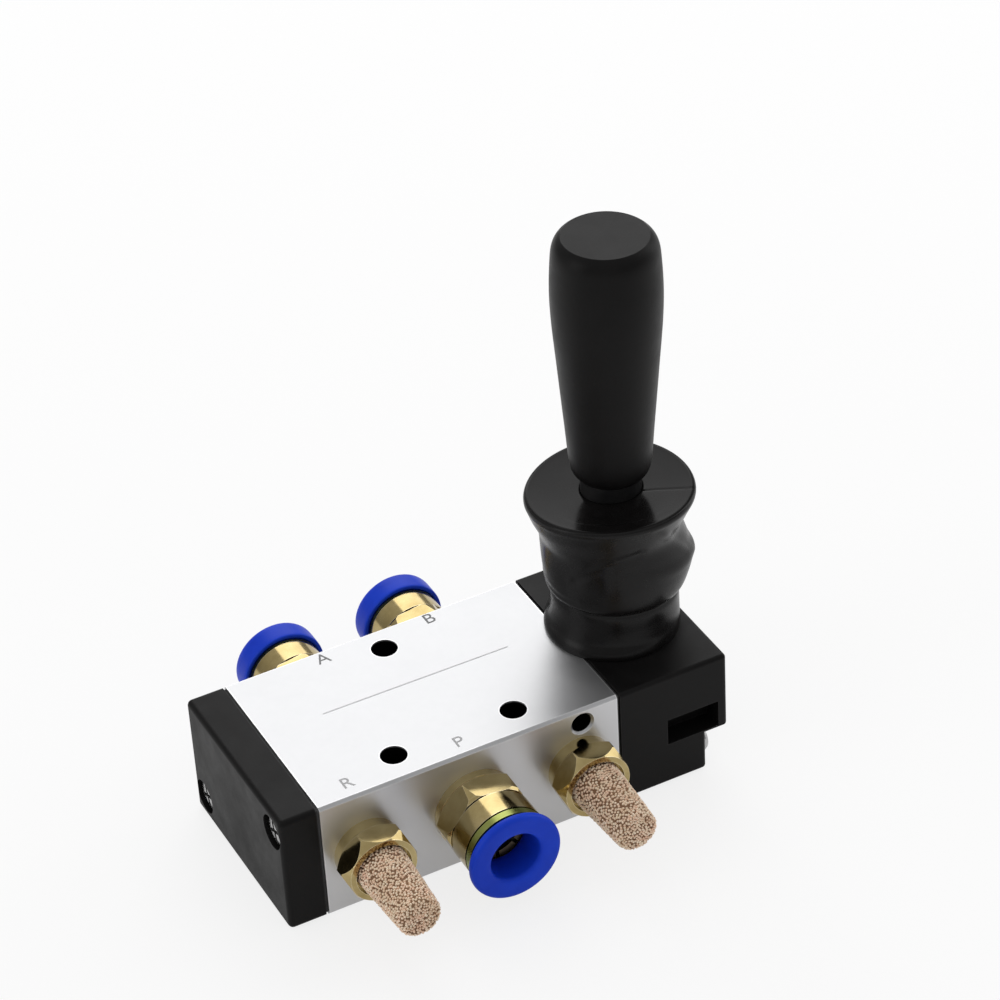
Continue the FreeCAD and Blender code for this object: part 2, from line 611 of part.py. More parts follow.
def housing_cutters():
    """What is hollowed out of the lever housing."""
    inner = HOUSING_INNER_X - CUT_MARGIN
    outer = HOUSING_OUTER_X + CUT_MARGIN
    seat_x = HOUSING_FOOT_X - HOUSING_COUNTERBORE_DEPTH
    cutters = [
        rod_x(POCKET_RADIUS, inner, HOUSING_POCKET_X, 0, AXIS_Z),
        rod_x(TAIL_BORE_RADIUS, inner, TAIL_BORE_END_X, 0, AXIS_Z),
        rod_z(HUB_CAVITY_RADIUS, AXIS_Z, BOSS_TOP_Z + CUT_MARGIN, LEVER_X),
        rod_z(DETENT_GUIDE_RADIUS, -CUT_MARGIN, AXIS_Z, DETENT_X),
        rod_z(DETENT_PLUG_RADIUS + THREAD_CLEARANCE, -CUT_MARGIN, DETENT_PLUG_TOP_Z, DETENT_X),
        rod_y(
            PIVOT_PIN_RADIUS + PIN_SEAT_CLEARANCE,
            -BOSS_RADIUS - CUT_MARGIN,
            BOSS_RADIUS + CUT_MARGIN,
            LEVER_X,
            PIVOT_Z,
        ),
    ]
    for y, z in screw_places(1):
        cutters.append(rod_x(SCREW_RADIUS + SCREW_HOLE_CLEARANCE, inner, outer, y, z))
        cutters.append(rod_x(COUNTERBORE_RADIUS, seat_x, outer, y, z))
    recess_x = HOUSING_OUTER_X - RECESS_FROM_END
    recess_z = HOUSING_STEP_HEIGHT + RECESS_ABOVE_STEP
    cutters.append(
        box(
            recess_x - RECESS_LENGTH,
            recess_x,
            -HALF_WIDTH - CUT_MARGIN,
            -HALF_WIDTH + RECESS_DEPTH,
            recess_z,
            recess_z + RECESS_HEIGHT,
        )
    )
    return cutters


def pivot_pin():
    """The cross pin that the lever turns on."""
    reach = BOSS_RADIUS - PIN_END_INSET
    return rod_y(PIVOT_PIN_RADIUS, -reach, reach, LEVER_X, PIVOT_Z)


def leaning(solid):
    """Moves a solid made about Z to the lever's axis and leans it with the lever."""
    solid.translate(FreeCAD.Vector(LEVER_X, 0, 0))
    solid.rotate(FreeCAD.Vector(LEVER_X, 0, PIVOT_Z), Y_AXIS, LEVER_LEAN_DEG)
    return solid


def lever_shaft():
    """The lever: the ball in the spool's slot, the hub on the pin, the shaft and the grip's stud."""
    neck_top = BALL_Z + NECK_LENGTH
    flare_top = PIVOT_Z - math.sqrt(HUB_RADIUS**2 - NECK_FLARE_RADIUS**2)
    parts = [
        Part.makeSphere(BALL_RADIUS, FreeCAD.Vector(0, 0, BALL_Z)),
        Part.makeSphere(HUB_RADIUS, FreeCAD.Vector(0, 0, PIVOT_Z)),
        turned(
            [
                (0, BALL_Z),
                (NECK_RADIUS, BALL_Z),
                (NECK_RADIUS, neck_top),
                (NECK_FLARE_RADIUS, flare_top),
                (NECK_FLARE_RADIUS, PIVOT_Z),
                (SHAFT_COLLAR_RADIUS, PIVOT_Z),
                (SHAFT_COLLAR_RADIUS, SHAFT_START_Z),
                (SHAFT_RADIUS - SHAFT_CHAMFER, SHAFT_START_Z),
                (SHAFT_RADIUS, SHAFT_START_Z + SHAFT_CHAMFER),
                (SHAFT_RADIUS, SHAFT_TOP_Z - SHAFT_CHAMFER),
                (SHAFT_RADIUS - SHAFT_CHAMFER, SHAFT_TOP_Z),
                (STUD_RADIUS, SHAFT_TOP_Z),
                (STUD_RADIUS, SHAFT_TOP_Z + STUD_LENGTH - SHAFT_CHAMFER),
                (STUD_RADIUS - SHAFT_CHAMFER, SHAFT_TOP_Z + STUD_LENGTH),
                (0, SHAFT_TOP_Z + STUD_LENGTH),
            ]
        ),
    ]
    reach = HUB_RADIUS + CUT_MARGIN
    hole = rod_y(PIVOT_PIN_RADIUS + PIVOT_CLEARANCE, -reach, reach, 0, PIVOT_Z)
    return leaning(fuse_all(parts).cut(hole))


def smooth_wire(points):
    """A smooth curve through (radius, height) points."""
    curve = Part.BSplineCurve()
    curve.interpolate([FreeCAD.Vector(radius, 0, height) for radius, height in points])
    return curve.toShape()


def line_wire(start, end):
    """A straight edge between two (radius, height) points."""
    first = FreeCAD.Vector(start[0], 0, start[1])
    return Part.LineSegment(first, FreeCAD.Vector(end[0], 0, end[1])).toShape()


def handle_grip():
    """The moulded grip, slimmer at its foot and widest below its rounded top."""
    taper_growth = GRIP_TAPER_END_RADIUS - GRIP_TAPER_START_RADIUS
    taper_rise = GRIP_TAPER_END_HEIGHT - GRIP_TAPER_START_HEIGHT
    outline = [
        (GRIP_BOTTOM_RADIUS, GRIP_BASE_Z),
        (GRIP_FOOT_RADIUS, GRIP_BASE_Z + GRIP_FOOT_HEIGHT),
    ]
    for step in range(GRIP_TAPER_STEPS + 1):
        share = step / GRIP_TAPER_STEPS
        radius = GRIP_TAPER_START_RADIUS + share * taper_growth
        height = GRIP_TAPER_START_HEIGHT + share * taper_rise
        outline.append((radius, GRIP_BASE_Z + height))
    outline += [
        (GRIP_WIDEST_RADIUS, GRIP_TOP_Z - GRIP_WIDEST_DROP),
        (GRIP_ROUNDING_RADIUS, GRIP_TOP_Z - GRIP_ROUNDING_DROP),
        (GRIP_SHOULDER_RADIUS, GRIP_TOP_Z - GRIP_SHOULDER_DROP),
        (GRIP_TOP_RADIUS, GRIP_TOP_Z),
    ]
    socket = SHAFT_RADIUS + BOOT_CLEARANCE
    stud_hole = STUD_RADIUS + GRIP_CLEARANCE
    stud_top = SHAFT_TOP_Z + STUD_LENGTH + BOOT_CLEARANCE
    corners = [
        outline[-1],
        (0, GRIP_TOP_Z),
        (0, stud_top),
        (stud_hole, stud_top),
        (stud_hole, SHAFT_TOP_Z),
        (socket, SHAFT_TOP_Z),
        (socket, GRIP_BASE_Z),
        outline[0],
    ]
    edges = [smooth_wire(outline)]
    for start, end in zip(corners, corners[1:]):
        edges.append(line_wire(start, end))
    grip = Part.Face(Part.Wire(edges)).revolve(FreeCAD.Vector(0, 0, 0), Z_AXIS, 360)
    return leaning(grip)


def rubber_boot():
    """The hollow rubber boot: a foot and cuff round the boss, a bulge, a waist and a top disc."""
    cuff_z = BOSS_TOP_Z + BOOT_CUFF_ABOVE_BOSS
    under_disc_z = BOOT_TOP_Z - BOOT_DISC_THICKNESS
    sleeve = BOSS_RADIUS + BOOT_CLEARANCE
    cuff = sleeve + BOOT_CUFF_WALL
    foot = cuff + BOOT_FOOT_LIP
    foot_z = BLOCK_HEIGHT + BOOT_FOOT_HEIGHT
    outer = [(foot, BLOCK_HEIGHT), (foot, foot_z), (cuff, foot_z + BOOT_FOOT_LIP), (cuff, cuff_z)]
    fold_outline = [
        (cuff - BOOT_CREASE_INSET, cuff_z + BOOT_CREASE_RISE),
        (BOOT_BULGE_RADIUS, BOOT_TOP_Z - BOOT_BULGE_DROP),
        (BOOT_WAIST_RADIUS, BOOT_TOP_Z - BOOT_WAIST_DROP),
        (BOOT_DISC_RADIUS - BOOT_DISC_EDGE, under_disc_z),
    ]
    inner_outline = [(radius - BOOT_WALL, height) for radius, height in fold_outline[:3]]
    rim = [
        fold_outline[-1],
        (BOOT_DISC_RADIUS, under_disc_z + BOOT_DISC_EDGE / 2),
        (BOOT_DISC_RADIUS, BOOT_TOP_Z - BOOT_DISC_EDGE),
        (BOOT_DISC_RADIUS - BOOT_DISC_EDGE, BOOT_TOP_Z),
        (SHAFT_COLLAR_RADIUS, BOOT_TOP_Z),
        (SHAFT_COLLAR_RADIUS, under_disc_z),
        (inner_outline[-1][0], under_disc_z),
        inner_outline[-1],
    ]
    lower_inside = [inner_outline[0], (sleeve, BOSS_TOP_Z + BOOT_CLEARANCE), (sleeve, BLOCK_HEIGHT)]
    edges = [line_wire(start, end) for start, end in zip(outer, outer[1:])]
    edges.append(line_wire(outer[-1], fold_outline[0]))
    edges.append(smooth_wire(fold_outline))
    edges += [line_wire(start, end) for start, end in zip(rim, rim[1:])]
    edges.append(smooth_wire(list(reversed(inner_outline))))
    edges += [line_wire(start, end) for start, end in zip(lower_inside, lower_inside[1:])]
    edges.append(line_wire(lower_inside[-1], outer[0]))
    boot = Part.Face(Part.Wire(Part.__sortEdges__(edges))).revolve(
        FreeCAD.Vector(0, 0, 0), Z_AXIS, 360
    )
    boot.translate(FreeCAD.Vector(LEVER_X, 0, 0))
    hole = SHAFT_RADIUS + BOOT_CLEARANCE
    return boot.cut(leaning(rod_z(hole, under_disc_z - CUT_MARGIN, BOOT_TOP_Z + CUT_MARGIN)))


def seal_places():
    """The seals' places along the spool, from the left."""
    right = [SUPPLY_SEAL_X, EXHAUST_SEAL_X, END_SEAL_X]
    return sorted([-x for x in right] + right)


def spool():
    """The spool: grooved lands on a waisted core, and the tail with the slot and the notches."""
    groove_floor = BORE_RADIUS - SEAL_CLEARANCE - SEAL_SECTION - SEAL_GROOVE_PLAY
    groove_half = SEAL_HALF_WIDTH + SEAL_GROOVE_PLAY
    core = [rod_x(SPOOL_WAIST_RADIUS, -SPOOL_END_X, SPOOL_END_X, 0, AXIS_Z)]
    for x in seal_places():
        core.append(rod_x(LAND_RADIUS, x - LAND_HALF_WIDTH, x + LAND_HALF_WIDTH, 0, AXIS_Z))
    tail = rod_x(TAIL_RADIUS, SPOOL_END_X - LAND_HALF_WIDTH, TAIL_END_X, 0, AXIS_Z)
    end_rim = [edge for edge in tail.Edges if edge.CenterOfMass.x > TAIL_END_X - TAIL_CHAMFER]
    core.append(tail.makeChamfer(TAIL_CHAMFER, end_rim))
    cutters = []
    for x in seal_places():
        ring = rod_x(BORE_RADIUS, x - groove_half, x + groove_half, 0, AXIS_Z)
        cutters.append(ring.cut(rod_x(groove_floor, x - groove_half, x + groove_half, 0, AXIS_Z)))
    slot_floor = BALL_Z - BALL_RADIUS - SLOT_FLOOR_GAP
    cutters.append(
        box(
            LEVER_X - SLOT_HALF_WIDTH,
            LEVER_X + SLOT_HALF_WIDTH,
            -BORE_RADIUS,
            BORE_RADIUS,
            slot_floor,
            AXIS_Z + BORE_RADIUS,
        )
    )
    notch = DETENT_BALL_RADIUS + DETENT_NOTCH_GAP
    for step in (-1, 0, 1):
        place = DETENT_X + step * SPOOL_TRAVEL
        cutters.append(rod_y(notch, -BORE_RADIUS, BORE_RADIUS, place, DETENT_BALL_Z))
    return cut_all(fuse_all(core), cutters)


def spool_seals():
    """The seal rings on the spool."""
    major = BORE_RADIUS - SEAL_CLEARANCE - SEAL_SECTION / 2
    rings = []
    for x in seal_places():
        centre = FreeCAD.Vector(x, 0, AXIS_Z)
        rings.append(Part.makeTorus(major, SEAL_SECTION / 2, centre, X_AXIS))
    return Part.makeCompound(rings)


def detent_ball():
    """The steel ball that clicks into the notches under the spool's tail."""
    return Part.makeSphere(DETENT_BALL_RADIUS, FreeCAD.Vector(DETENT_X, 0, DETENT_BALL_Z))


def detent_spring():
    """The small coil spring between the plug and the ball."""
    low = DETENT_PLUG_TOP_Z + SPRING_GAP + SPRING_WIRE_RADIUS
    coil = DETENT_BALL_RADIUS - 2 * SPRING_WIRE_RADIUS
    contact = DETENT_BALL_RADIUS + SPRING_GAP + SPRING_WIRE_RADIUS
    high = DETENT_BALL_Z - math.sqrt(contact**2 - coil**2)
    path = Part.makeHelix((high - low) / SPRING_TURNS, high - low, coil)
    wire = Part.Wire(Part.makeCircle(SPRING_WIRE_RADIUS, FreeCAD.Vector(coil, 0, 0), Y_AXIS))
    spring = Part.Wire(path.Edges).makePipeShell([wire], True, True)
    spring.translate(FreeCAD.Vector(DETENT_X, 0, low))
    return spring


def detent_plug():
    """The socket plug that closes the detent's bore from below."""
    plug = rod_z(DETENT_PLUG_RADIUS, DETENT_PLUG_INSET, DETENT_PLUG_TOP_Z)
    socket_top = DETENT_PLUG_INSET + DETENT_PLUG_SOCKET
    plug = plug.cut(hexagon(DETENT_PLUG_RADIUS, -CUT_MARGIN, socket_top, 0))
    plug.translate(FreeCAD.Vector(DETENT_X, 0, 0))
    return plug


class FittingSize:
    """The radii and places in one size of push-in fitting, about Z from the block's face."""

    def __init__(self, barrel_length, barrel_wall, seal_section, lip, ring_wall, skirt, flange):
        self.seal_section = seal_section
        self.seal_radius = TUBE_GRIP_RADIUS + seal_section
        self.claw_radius = self.seal_radius + CLAW_SEAT_STEP
        self.collar_sleeve_radius = self.claw_radius + COLLAR_CLEARANCE
        self.mouth_radius = self.collar_sleeve_radius + COLLAR_CLEARANCE
        self.barrel_radius = self.mouth_radius + barrel_wall
        self.barrel_end = FITTING_HEX_END + barrel_length
        self.collar_radius = self.barrel_radius - COLLAR_INSET
        self.collar_flange_start = self.barrel_end + COLLAR_GAP
        self.collar_end = self.collar_flange_start + lip
        self.guide_start = self.collar_flange_start - COLLAR_GUIDE_DEPTH
        self.ring_sleeve_radius = RING_BORE_RADIUS + ring_wall
        self.ring_flange_radius = self.collar_radius + RING_FLANGE_LIP
        self.ring_skirt = skirt
        self.ring_skirt_radius = self.collar_radius + RING_SKIRT_CLEARANCE
        self.ring_flange_start = self.collar_end + RING_TRAVEL + RING_STOP_GAP
        self.ring_end = self.ring_flange_start + flange


def supply_fitting_size():
    """The size of the supply port's fitting."""
    return FittingSize(
        SUPPLY_BARREL_LENGTH,
        SUPPLY_BARREL_WALL,
        SUPPLY_SEAL_SECTION,
        SUPPLY_COLLAR_LIP,
        SUPPLY_RING_WALL,
        SUPPLY_RING_SKIRT,
        SUPPLY_FLANGE_THICKNESS,
    )


def outlet_fitting_size():
    """The size of the two outlet ports' fittings."""
    return FittingSize(
        OUTLET_BARREL_LENGTH,
        OUTLET_BARREL_WALL,
        OUTLET_SEAL_SECTION,
        OUTLET_COLLAR_LIP,
        OUTLET_RING_WALL,
        OUTLET_RING_SKIRT,
        OUTLET_FLANGE_THICKNESS,
    )


def fitting_body(size):
    """A push-in fitting's brass body: thread, hexagon, barrel and bore."""
    barrel = size.barrel_radius
    flat = barrel - FITTING_HEX_FLAT_DEPTH
    core = flat - FITTING_HEX_GROOVE_DEPTH
    turned_parts = turned(
        [
            (0, -THREAD_LENGTH),
            (MAIN_THREAD_RADIUS - PORT_CHAMFER, -THREAD_LENGTH),
            (MAIN_THREAD_RADIUS, -THREAD_LENGTH + PORT_CHAMFER),
            (MAIN_THREAD_RADIUS, 0),
            (barrel - FITTING_SHOULDER_INSET, 0),
            (barrel - FITTING_SHOULDER_INSET, FITTING_SHOULDER),
            (core, FITTING_SHOULDER),
            (core, FITTING_HEX_END),
            (barrel, FITTING_HEX_END),
            (barrel, size.barrel_end),
            (0, size.barrel_end),
        ]
    )
    nut = chamfered_hexagon(
        2 * flat,
        FITTING_SHOULDER,
        FITTING_HEX_END - FITTING_HEX_GROOVE,
        FITTING_HEX_ANGLE,
        FITTING_HEX_BACK_CHAMFER,
        FITTING_HEX_TAPER,
        barrel + FITTING_HEX_FACE_LIP,
        FITTING_HEX_FRONT_CHAMFER,
    )
    bore = turned(
        [
            (0, -THREAD_LENGTH - CUT_MARGIN),
            (MAIN_PASSAGE_RADIUS, -THREAD_LENGTH - CUT_MARGIN),
            (MAIN_PASSAGE_RADIUS, TUBE_STOP_DEPTH),
            (TUBE_SEAT_RADIUS, TUBE_STOP_DEPTH),
            (TUBE_SEAT_RADIUS, TUBE_SEAT_END),
            (size.seal_radius, TUBE_SEAT_END),
            (size.seal_radius, CLAW_SEAT),
            (size.mouth_radius, CLAW_SEAT),
            (size.mouth_radius, size.barrel_end + CUT_MARGIN),
            (0, size.barrel_end + CUT_MARGIN),
        ]
    )
    return fuse_all([turned_parts, nut]).cut(bore)


def fitting_seal(size):
    """The ring that seals on the tube."""
    section = (size.seal_section - TUBE_SEAT_CLEARANCE) / 2
    middle = TUBE_SEAT_END + FITTING_SEAL_SPACE / 2
    return Part.makeTorus(
        TUBE_GRIP_RADIUS + section, section, FreeCAD.Vector(0, 0, middle), Z_AXIS
    )


def fitting_claw(size):
    """The dished and slotted spring steel ring that grips the tube."""
    inner = TUBE_GRIP_RADIUS
    rim = CLAW_RIM_RADIUS
    low = CLAW_SEAT
    high = CLAW_SEAT + CLAW_THICKNESS
    claw = turned(
        [
            (rim, low),
            (size.claw_radius, low),
            (size.claw_radius, high),
            (rim, high),
            (inner, high - CLAW_DISH),
            (inner, low - CLAW_DISH),
        ]
    )
    slots = []
    for index in range(CLAW_SLOTS):
        half = CLAW_SLOT_WIDTH / 2
        slot = box(0, rim, -half, half, low - 2 * CLAW_DISH, high + CLAW_DISH)
        slot.rotate(FreeCAD.Vector(0, 0, 0), Z_AXIS, 360 * index / CLAW_SLOTS)
        slots.append(slot)
    return cut_all(claw, slots)


def fitting_collar(size):
    """The pressed-in collar that holds the claw and guides the release ring."""
    guide = size.ring_sleeve_radius + RING_GUIDE_CLEARANCE
    sleeve = size.collar_sleeve_radius
    wide = sleeve - COLLAR_WALL
    return turned(
        [
            (wide, COLLAR_START),
            (sleeve, COLLAR_START),
            (sleeve, size.collar_flange_start),
            (size.collar_radius, size.collar_flange_start),
            (size.collar_radius, size.collar_end),
            (guide, size.collar_end),
            (guide, size.guide_start),
            (wide, size.guide_start),
        ]
    )


def release_ring(size):
    """The plastic ring that is pressed in to let the tube go: nose, snap rib and flange."""
    snap_top = size.guide_start - RING_SNAP_GAP
    sleeve = size.ring_sleeve_radius
    snap = sleeve + RING_SNAP_HEIGHT
    flange = size.ring_flange_radius
    edge = RING_EDGE
    low = size.ring_flange_start - size.ring_skirt
    high = size.ring_end
    flange_back = [(sleeve, low)]
    if size.ring_skirt > 0:
        flange_back = [
            (sleeve, size.ring_flange_start),
            (size.ring_skirt_radius, size.ring_flange_start),
            (size.ring_skirt_radius, low),
        ]
    return turned(
        [
            (RING_BORE_RADIUS, RING_NOSE_START),
            (sleeve - RING_NOSE_CHAMFER, RING_NOSE_START),
            (sleeve, RING_NOSE_START + RING_NOSE_CHAMFER),
            (sleeve, snap_top - RING_SNAP_LENGTH),
            (snap, snap_top - RING_SNAP_LENGTH / 2),
            (snap, snap_top),
            (sleeve, snap_top),
        ]
        + flange_back
        + [
            (flange - edge / 2, low),
            (flange, low + edge / 2),
            (flange, high - edge),
            (flange - edge / 3, high - edge / 3),
            (flange - edge, high),
            (RING_BORE_RADIUS + edge, high),
            (RING_BORE_RADIUS + edge / 3, high - edge / 3),
            (RING_BORE_RADIUS, high - edge),
        ]
    )


def silencer_base():
    """A silencer's brass base, about Z from the face: thread, hexagon and the element's cup."""
    shoulder = SILENCER_HEX_FLATS / 2 - SILENCER_SHOULDER_INSET
    shank = turned(
        [
            (0, -SILENCER_THREAD_LENGTH),
            (EXHAUST_THREAD_RADIUS - PORT_CHAMFER, -SILENCER_THREAD_LENGTH),
            (EXHAUST_THREAD_RADIUS, -SILENCER_THREAD_LENGTH + PORT_CHAMFER),
            (EXHAUST_THREAD_RADIUS, 0),
            (shoulder, 0),
            (shoulder, SILENCER_SHOULDER + CUT_MARGIN),
            (0, SILENCER_SHOULDER + CUT_MARGIN),
        ]
    )
    nut = chamfered_hexagon(
        SILENCER_HEX_FLATS,
        SILENCER_SHOULDER,
        SILENCER_HEX_END,
        SILENCER_HEX_ANGLE,
        SILENCER_HEX_BACK_CHAMFER,
        SILENCER_HEX_TAPER,
        SILENCER_FACE_RADIUS,
        SILENCER_HEX_FRONT_CHAMFER,
    )
    cutters = [
        rod_z(SILENCER_CUP_RADIUS, SILENCER_SEAT, SILENCER_HEX_END + CUT_MARGIN),
        rod_z(SILENCER_BORE_RADIUS, -SILENCER_THREAD_LENGTH - CUT_MARGIN, SILENCER_HEX_END),
    ]
    return cut_all(fuse_all([shank, nut]), cutters)


def silencer_element():
    """The tapered porous bronze element, hollow inside, in the base's cup."""
    slope = ELEMENT_TAPER / ELEMENT_LENGTH
    edge = ELEMENT_TIP_EDGE
    core = ELEMENT_BASE_RADIUS - ELEMENT_WALL
    core_end = SILENCER_END - ELEMENT_WALL
    return turned(
        [
            (core, SILENCER_SEAT),
            (ELEMENT_BASE_RADIUS, SILENCER_SEAT),
            (ELEMENT_TIP_RADIUS + slope * edge, SILENCER_END - edge),
            (ELEMENT_TIP_RADIUS - edge / 4, SILENCER_END - edge / 4),
            (ELEMENT_TIP_RADIUS - edge, SILENCER_END),
            (0, SILENCER_END),
            (0, core_end),
            (ELEMENT_TIP_RADIUS - ELEMENT_WALL, core_end),
        ]
    )


def port_nodes():
    """The fittings and silencers in their ports, by node name."""
    nodes = {}
    supply = supply_fitting_size()
    outlet = outlet_fitting_size()
    for name, size, x, side, standoff in (
        ("supply_p", supply, 0.0, -1, 0.0),
        ("outlet_a", outlet, -OUTLET_FROM_SUPPLY, 1, 0.0),
        ("outlet_b", outlet, OUTLET_FROM_SUPPLY, 1, OUTLET_B_STANDOFF),
    ):
        nodes[name + "_fitting_body"] = on_face(fitting_body(size), x, side, standoff)
        nodes[name + "_tube_seal"] = on_face(fitting_seal(size), x, side, standoff)
        nodes[name + "_claw"] = on_face(fitting_claw(size), x, side, standoff)
        nodes[name + "_collar"] = on_face(fitting_collar(size), x, side, standoff)
        nodes[name + "_release_ring"] = on_face(release_ring(size), x, side, standoff)
    for name, x in (("silencer_r", -EXHAUST_FROM_SUPPLY), ("silencer_s", EXHAUST_FROM_SUPPLY)):
        nodes[name + "_base"] = on_face(silencer_base(), x, -1)
        nodes[name + "_element"] = on_face(silencer_element(), x, -1)
    return nodes


def all_nodes():
    """Every piece of the valve, by node name."""
    nodes = {
        "valve_block": valve_block(),
        "end_cap_gasket": gasket(CAP_INNER_X, -HALF_LENGTH, -1),
        "end_cap": end_cap(),
        "end_cap_screws": end_cap_screws(),
        "housing_gasket": gasket(HALF_LENGTH, HOUSING_INNER_X, 1),
        "lever_housing": lever_housing(),
        "housing_screws": housing_screws(),
        "pivot_pin": pivot_pin(),
        "lever_shaft": lever_shaft(),
        "handle_grip": handle_grip(),
        "rubber_boot": rubber_boot(),
        "spool": spool(),
        "spool_seals": spool_seals(),
        "detent_ball": detent_ball(),
        "detent_spring": detent_spring(),
        "detent_plug": detent_plug(),
    }
    nodes.update(port_nodes())
    return nodes


os.makedirs("parts", exist_ok=True)
for node_name, shape in all_nodes().items():
    solids = shape.Solids
    print(node_name, len(solids), round(shape.Volume, 2), shape.isValid())
    (shape if len(solids) > 1 else solids[0]).exportStep(os.path.join("parts", node_name + ".step"))
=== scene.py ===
import math

import bmesh
import bpy
import numpy as np
from mathutils import Matrix, Vector


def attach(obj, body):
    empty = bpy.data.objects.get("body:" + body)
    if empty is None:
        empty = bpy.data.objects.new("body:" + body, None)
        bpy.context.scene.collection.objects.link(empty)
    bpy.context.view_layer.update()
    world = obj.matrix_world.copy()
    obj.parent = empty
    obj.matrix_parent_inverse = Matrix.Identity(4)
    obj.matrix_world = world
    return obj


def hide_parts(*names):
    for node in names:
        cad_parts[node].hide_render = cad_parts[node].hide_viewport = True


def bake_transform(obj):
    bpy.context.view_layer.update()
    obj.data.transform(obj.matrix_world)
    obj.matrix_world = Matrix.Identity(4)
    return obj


# A hand lever air valve: a satin aluminium block with brass fittings and
# silencers, and a black lever that stands in a rubber boot.

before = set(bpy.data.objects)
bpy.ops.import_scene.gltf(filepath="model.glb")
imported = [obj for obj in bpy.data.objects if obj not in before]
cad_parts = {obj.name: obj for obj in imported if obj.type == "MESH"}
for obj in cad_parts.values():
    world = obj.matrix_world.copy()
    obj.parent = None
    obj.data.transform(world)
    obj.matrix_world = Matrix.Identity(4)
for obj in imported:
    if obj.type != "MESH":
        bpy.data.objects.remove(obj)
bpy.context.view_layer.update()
scene = bpy.context.scene

MM = 0.001

# Sizes of the real part, in millimetres, and how finely its round pieces are cut
BLOCK_TOP = 22.0
LEVER_X = 35.5
PIVOT_HEIGHT = 25.0
LEVER_LEAN = math.radians(0.75)
SHAFT_HOLE_RADIUS = 4.93
BOSS_CLEAR_RADIUS = 8.65
BOOT_WALL = 1.3
BOOT_SEGMENTS = 288
DISC_TOP = 48.45
DISC_FACE_FLOOR = 47.2
DISC_FACE_UPRIGHT = 0.9
RIM_UNDERSIDE = 46.8
FACE_Y = 17.5
PORT_HEIGHT = 11.0
RING_SEGMENTS = 128
PRINT_LIFT = 0.015


# Helpers for meshes
def smooth_through(keys, steps):
    """A smooth run of rows through the key rows, with `steps` rows from one key to the next."""
    keys = np.asarray(keys, float)
    before = 2 * keys[:1] - keys[1:2]
    after = 2 * keys[-1:] - keys[-2:-1]
    held = np.concatenate([before, keys, after])
    rows = []
    for start in range(1, len(held) - 2):
        a, b, c, d = held[start - 1:start + 3]
        for t in np.arange(steps) / steps:
            bend = (2 * a - 5 * b + 4 * c - d) * t * t + (3 * b - a - 3 * c + d) * t ** 3
            rows.append(0.5 * (2 * b + (c - a) * t + bend))
    rows.append(keys[-1])
    return np.array(rows)


def mesh_object(name, points, faces, finish):
    """A smooth-shaded object whose points are in millimetres and whose faces point outwards."""
    mesh = bpy.data.meshes.new(name)
    mesh.from_pydata([tuple(np.asarray(point) * MM) for point in points], [], faces)
    shell = bmesh.new()
    shell.from_mesh(mesh)
    bmesh.ops.remove_doubles(shell, verts=shell.verts, dist=1e-7)
    bmesh.ops.recalc_face_normals(shell, faces=shell.faces)
    shell.to_mesh(mesh)
    shell.free()
    mesh.polygons.foreach_set("use_smooth", [True] * len(mesh.polygons))
    mesh.materials.append(finish)
    piece = bpy.data.objects.new(name, mesh)
    scene.collection.objects.link(piece)
    return piece


def grid_faces(rows, columns, closed_rows):
    """Quads of a grid that is closed round its columns, and over its rows where it is a ring."""
    faces = []
    for row in range(rows if closed_rows else rows - 1):
        nearer = row * columns
        farther = (row + 1) % rows * columns
        for column in range(columns):
            beside = (column + 1) % columns
            faces.append((nearer + column, nearer + beside, farther + beside, farther + column))
    return faces


def turned_about_port(name, outline, port_x, outward, segments, finish, closed):
    """A turned piece on a port's axis. The outline is (radius, distance out from the face)."""
    points = []
    for radius, distance in outline:
        for step in range(segments):
            angle = 2 * math.pi * step / segments
            across = radius * math.cos(angle)
            height = PORT_HEIGHT + radius * math.sin(angle)
            points.append((port_x + across, outward * (FACE_Y + distance), height))
    return mesh_object(name, points, grid_faces(len(outline), segments, closed), finish)


# Helpers for node trees, in which sizes are in metres
def add(tree, kind, settings=None, **values):
    """A node with its settings, and its sockets set by name with _ for a space."""
    node = tree.nodes.new(kind)
    for key, value in (settings or {}).items():
        setattr(node, key, value)
    for label, value in values.items():
        node.inputs[label.replace("_", " ")].default_value = value
    return node


def join(tree, *pairs):
    """Links each pair of sockets."""
    for source, target in pairs:
        tree.links.new(source, target)


def shader_group(name, inputs, outputs):
    """An empty shader node group with named sockets, and its two end nodes."""
    tree = bpy.data.node_groups.new(name, "ShaderNodeTree")
    for label, kind, value in inputs:
        socket = tree.interface.new_socket(name=label, in_out="INPUT", socket_type=kind)
        socket.default_value = value
    for label, kind in outputs:
        tree.interface.new_socket(name=label, in_out="OUTPUT", socket_type=kind)
    return tree, tree.nodes.new("NodeGroupInput"), tree.nodes.new("NodeGroupOutput")


NUMBER = "NodeSocketFloat"
DIRECTION = "NodeSocketVector"

# Nearly all of a noise texture's values lie between these two
NOISE_LOW = 0.32
NOISE_HIGH = 0.68

# The cosine between the rounded normal and the face's own, on a face and at a worn edge
COSINE_ON_FACE = 0.995
COSINE_AT_EDGE = 0.86


def noise_of_size(tree, place, size, **shape):
    """The socket of a noise texture whose features are about as long as the size socket says."""
    scale = add(tree, "ShaderNodeMath", {"operation": "DIVIDE"})
    scale.inputs[0].default_value = 1.0
    noise = add(tree, "ShaderNodeTexNoise", **shape)
    join(
        tree,
        (size, scale.inputs[1]),
        (scale.outputs[0], noise.inputs["Scale"]),
        (place, noise.inputs["Vector"]),
    )
    return noise.outputs["Fac"]


